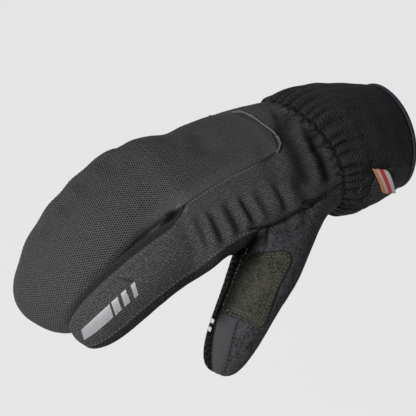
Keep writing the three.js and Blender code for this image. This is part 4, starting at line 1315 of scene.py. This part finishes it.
def cuff_point(degrees, along, sink=0.0):
    """A point of the cuff's cloth, so far below its outer face."""
    centre, side, up = cuff_frame(along)
    angle = math.radians(degrees)
    c, s = math.cos(angle), math.sin(angle)
    soft = 2 / CUFF_SQUARE
    x = math.copysign(abs(c) ** soft, c) * smooth_table(CUFF_ROWS, "width", along) * CUFF_WIDTH / 2
    y = math.copysign(abs(s) ** soft, s) * smooth_table(CUFF_ROWS, "height", along) * CUFF_WIDTH / 2
    out = (side * x + up * y).normalized()
    lump = noise.noise(Vector((degrees / 22, along * 3, 4))) * CUFF_LUMP
    lump *= math.sin(math.pi * min(along, 1))
    ripple = math.sin(along * 26 + degrees / 19) * CUFF_RIPPLE * math.sin(math.pi * along)
    lift = gather(degrees, along)[1] * GATHER_DEPTH / 2 + lump + ripple
    return centre + side * x + up * y + out * (lift - sink)


def cuff_seam(along):
    """The angle of the seam in degrees."""
    return float(np.interp(along, [a for a, _ in CUFF_SEAM], [d for _, d in CUFF_SEAM]))


CUFF_LAST = 0.96
CUFF_GRID = (44, 330)  # quads along a panel of the cuff and round it
CLOTH_RADIUS = 0.52 * CUFF_WIDTH  # turns degrees round the cuff into metres of cloth
# Painted shade in the valleys of the cuff's gathers, fading away from the wrist seam
VALLEY_SHADE = 0.95
VALLEY_REACH = 13 * MM
SEAM_DRAW = 0.9 * MM
SEAM_WIDTH = 1.6 * MM
WRIST_SEAM_WIDTH = 2 * MM
MID_PANEL = 9.0  # millimetres from a seam: the cuff's cloth is not worn at its seams


def cuff_panel(name, fixed, gap, cloth):
    """A closed slab from a fixed angle to the seam, less a gap, in degrees.

    Its rows lie closer together at the wrist.
    """
    rows, columns = CUFF_GRID
    vertices = []
    flat = []
    shade = []
    for layer in range(2):
        for i in range(rows + 1):
            share = i / rows
            along = CUFF_LAST * (0.35 * share + 0.65 * share**1.35)
            low, high = sorted((fixed, cuff_seam(along) + gap))
            reach = along * CUFF_LENGTH
            wrist = math.exp(-((reach / WRIST_SEAM_WIDTH) ** 2))
            for j in range(columns + 1):
                degrees = low + (high - low) * j / columns
                edge = min(j, columns - j) / columns * abs(high - low) / 360 * math.pi * CUFF_WIDTH
                draw = SEAM_DRAW * (math.exp(-((edge / SEAM_WIDTH) ** 2)) + wrist)
                vertices.append(cuff_point(degrees, along, draw + layer * CUFF_WALL))
                flat.append((reach, math.radians(degrees) * CLOTH_RADIUS))
                valley = (1 - gather(degrees, along)[0]) ** 1.2
                shade.append(VALLEY_SHADE * valley * math.exp(-((reach / VALLEY_REACH) ** 1.5)))
    upper = []
    for i in range(rows):
        for j in range(columns):
            a = i * (columns + 1) + j
            b = a + columns + 1
            upper.append((a, a + 1, b + 1, b))
    mesh = closed_mesh(name, vertices, slab_faces(upper, len(vertices) // 2))
    layer = mesh.uv_layers.new(name="cloth")
    corner = np.empty(len(mesh.loops), dtype=int)
    mesh.loops.foreach_get("vertex_index", corner)
    layer.uv.foreach_set("vector", np.array(flat)[corner].ravel())
    for face in mesh.polygons:
        face.material_index = 0 if face.index < len(upper) else 1
    keep(mesh, "seam", np.full(len(mesh.vertices), MID_PANEL))
    keep_shade(mesh, np.array(shade))
    piece = link(name, mesh, cloth, "lining")
    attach(piece, ROOT)
    return piece


def add_cuff():
    """Both panels of the cuff; gives the underside."""
    back = cuff_panel("cuff_back_cloth", CUFF_START - CUFF_GAP, CUFF_GAP, "cuff_rib")
    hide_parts("cuff_back")
    palm = cuff_panel("cuff_palm_cloth", CUFF_START - 360 + CUFF_GAP, -CUFF_GAP, "side")
    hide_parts("cuff_palm")
    return palm


# Elastic under the gathers: where it starts and ends along the cuff, and its depths under the cloth
ELASTIC_ALONG = (-0.05, 0.07)
ELASTIC_DEPTHS = (1.5 * MM, 3.0 * MM)
ELASTIC_COLUMNS = 360


def add_elastic():
    """The dark band that closes the wrist seam behind its puckers."""
    start, end = ELASTIC_ALONG
    upper, lower = ELASTIC_DEPTHS
    section = ((start, upper), (end, upper), (end, lower), (start, lower))
    vertices = []
    for j in range(ELASTIC_COLUMNS):
        degrees = 360 * j / ELASTIC_COLUMNS
        vertices += [cuff_point(degrees, along, depth) for along, depth in section]
    faces = []
    for j in range(ELASTIC_COLUMNS):
        here = 4 * j
        beyond = 4 * ((j + 1) % ELASTIC_COLUMNS)
        for k in range(4):
            n = (k + 1) % 4
            faces.append((here + k, here + n, beyond + n, beyond + k))
    piece = link("wrist_elastic", closed_mesh("wrist_elastic", vertices, faces), "elastic")
    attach(piece, ROOT)


# Trim


def add_smoothed(node, name, material, levels, grain=FORWARD):
    """A trim node, rounded off and given its own cloth."""
    piece = link(name, coarse_copy(node), material, material)
    unwrap(piece, grain)
    subdivided(piece, levels)
    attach(piece, ROOT)
    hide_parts(node)
    return piece


def lay_on(piece, surface, low, high):
    """Moves a thin print onto the surface, its underside at low and its top at high."""
    mesh = piece.data
    points = coordinates(mesh)
    found = [surface.find_nearest(Vector(p)) for p in points]
    height = np.array([(Vector(p) - f[0]).dot(f[1]) for p, f in zip(points, found)])
    middle = (height.max() + height.min()) / 2
    for i, (place, normal, _, _) in enumerate(found):
        points[i] = place + normal * (high if height[i] > middle else low)
    set_coordinates(mesh, points)


ARC_SEAM = ((339, 209), (347, 204), (354, 199), (358.5, 193), (361.5, 187), (366, 180), (369, 177))
ARC_STEP = 2.0 * MM
ARC_RADIUS = 0.14 * MM


def add_arc_seam(cuff):
    """The light thread along the edge of the cuff's underside."""
    surface = surface_of(cuff.data)
    line = resample(drawn_line(surface, ARC_SEAM), ARC_STEP)
    places = [surface.find_nearest(Vector(p))[:2] for p in line]
    threads = [(a, b, normal, ARC_RADIUS) for (a, normal), (b, _) in zip(places, places[1:])]
    piece = link("cuff_stitching", stitch_mesh(threads), "light_thread")
    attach(piece, ROOT)


PRINT_SINK = -0.1 * MM
HAND_PRINTS = 4
HAND_PRINT_TOP = 0.35 * MM
THUMB_PRINTS = 2
THUMB_PRINT_TOP = 0.5 * MM


def add_trim(made):
    """The printed bars, the rim's binding, the cord and the label."""
    hand = surface_of(made["hand_back"][0].data)
    for i in range(1, HAND_PRINTS + 1):
        bar = add_smoothed(f"reflective_bar_{i}", f"reflective_print_{i}", "print", 2)
        lay_on(bar, hand, PRINT_SINK, HAND_PRINT_TOP)
    thumb = surface_of(made["thumb_palm"][0].data)
    for i in range(1, THUMB_PRINTS + 1):
        bar = add_smoothed(f"thumb_bar_{i}", f"thumb_print_{i}", "white", 2)
        lay_on(bar, thumb, PRINT_SINK, THUMB_PRINT_TOP)
    add_smoothed("cuff_binding", "cuff_binding_tape", "binding", 2)
    cord = add_smoothed("tongue_piping", "tongue_cord", "cord", 2)
    sink_cord(cord, surface_of(made["mitt_back"][0].data))
    label = add_smoothed("label", "label_tape", "label", 3)
    mark_across(label)


# Along the cuff and degrees: the two ends of the label's sewn edge and one of its free corners
LABEL_CORNERS = ((0.33, 163), (0.51, 191), (0.5, 166))
CORD_START = (232, 114)  # the pixel where the cord comes over the far side
CORD_SLIM = 0.2 * MM
CORD_SINK = 0.5 * MM


def sink_cord(cord, surface):
    """Makes the cord slimmer and sews it down into the seam."""
    mesh = cord.data
    bm = bmesh.new()
    bm.from_mesh(mesh)
    start = surface.ray_cast(camera_place, photo_ray(*CORD_START))[0]
    everything = [*bm.verts, *bm.edges, *bm.faces]
    bmesh.ops.bisect_plane(bm, geom=everything, plane_co=start, plane_no=-camera_right, clear_outer=True)
    bmesh.ops.holes_fill(bm, edges=[edge for edge in bm.edges if edge.is_boundary])
    bm.to_mesh(mesh)
    bm.free()
    points = coordinates(mesh) - normals(mesh) * CORD_SLIM
    for i, p in enumerate(points):
        points[i] = p - np.array(surface.find_nearest(Vector(p))[1]) * CORD_SINK
    set_coordinates(mesh, points)


def mark_across(label):
    """Keeps how far each point is across the label, from its sewn edge to its free one."""
    mesh = label.data
    points = coordinates(mesh)
    corner, below, beyond = (np.array(cuff_point(degrees, along)) for along, degrees in LABEL_CORNERS)
    edge = (below - corner) / np.linalg.norm(below - corner)
    across = beyond - corner
    across -= (across @ edge) * edge
    run = points @ across
    share = (run - run.min()) / (run.max() - run.min())
    keep(mesh, "across", share)


# Room and light

FLOOR_DROP = 0.75  # metres from the glove's lowest point, so that its shadow is out of view
FLOOR_TONE = (0.79, 0.79, 0.79)
FLOOR_GLOW = 0.965  # the floor is evenly lit from edge to edge
FLOOR_HALF = 6.0  # metres
WORLD_LIGHT = 0.13
# Each light: its place from the camera's target and its size in metres, and its power in watts
LIGHTS = {
    "key": {"offset": (-0.5, -0.28, 0.5), "size": 0.3, "power": 9.5},
    "rim": {"offset": (0.2, 0.85, 0.5), "size": 0.4, "power": 1.8},
}


def add_room():
    mesh = bpy.data.meshes.new("floor")
    half = FLOOR_HALF
    z = cad_box[0][2] - FLOOR_DROP
    corners = [(-half, -half, z), (half, -half, z), (half, half, z), (-half, half, z)]
    mesh.from_pydata(corners, [], [(0, 1, 2, 3)])
    floor = bpy.data.objects.new("floor", mesh)
    bpy.context.scene.collection.objects.link(floor)
    paper = Cloth("pale_floor", scaled(FLOOR_TONE, 0.1), 0.9, specular=0.0)
    paper.shader.inputs["Emission Color"].default_value = (*FLOOR_TONE, 1)
    paper.shader.inputs["Emission Strength"].default_value = FLOOR_GLOW
    mesh.materials.append(paper.material)
    world = bpy.data.worlds.new("studio")
    world.use_nodes = True
    world.node_tree.nodes["Background"].inputs[0].default_value = (1, 1, 1, 1)
    world.node_tree.nodes["Background"].inputs[1].default_value = WORLD_LIGHT
    bpy.context.scene.world = world
    for name, light in LIGHTS.items():
        add_light(name, **light)
    bpy.context.scene.view_settings.view_transform = "Standard"


def add_light(name, offset, size, power):
    data = bpy.data.lights.new(name, "AREA")
    data.energy = power
    data.size = size
    light = bpy.data.objects.new(name, data)
    light.location = CAMERA_TARGET + Vector(offset)
    light.rotation_euler = (-Vector(offset)).to_track_quat("-Z", "Y").to_euler()
    bpy.context.scene.collection.objects.link(light)


add_camera()
panels = add_panels()
add_patch(panels)
add_arc_seam(add_cuff())
add_elastic()
add_trim(panels)
add_rolled_seams(panels)
add_stitching(panels)
add_room()
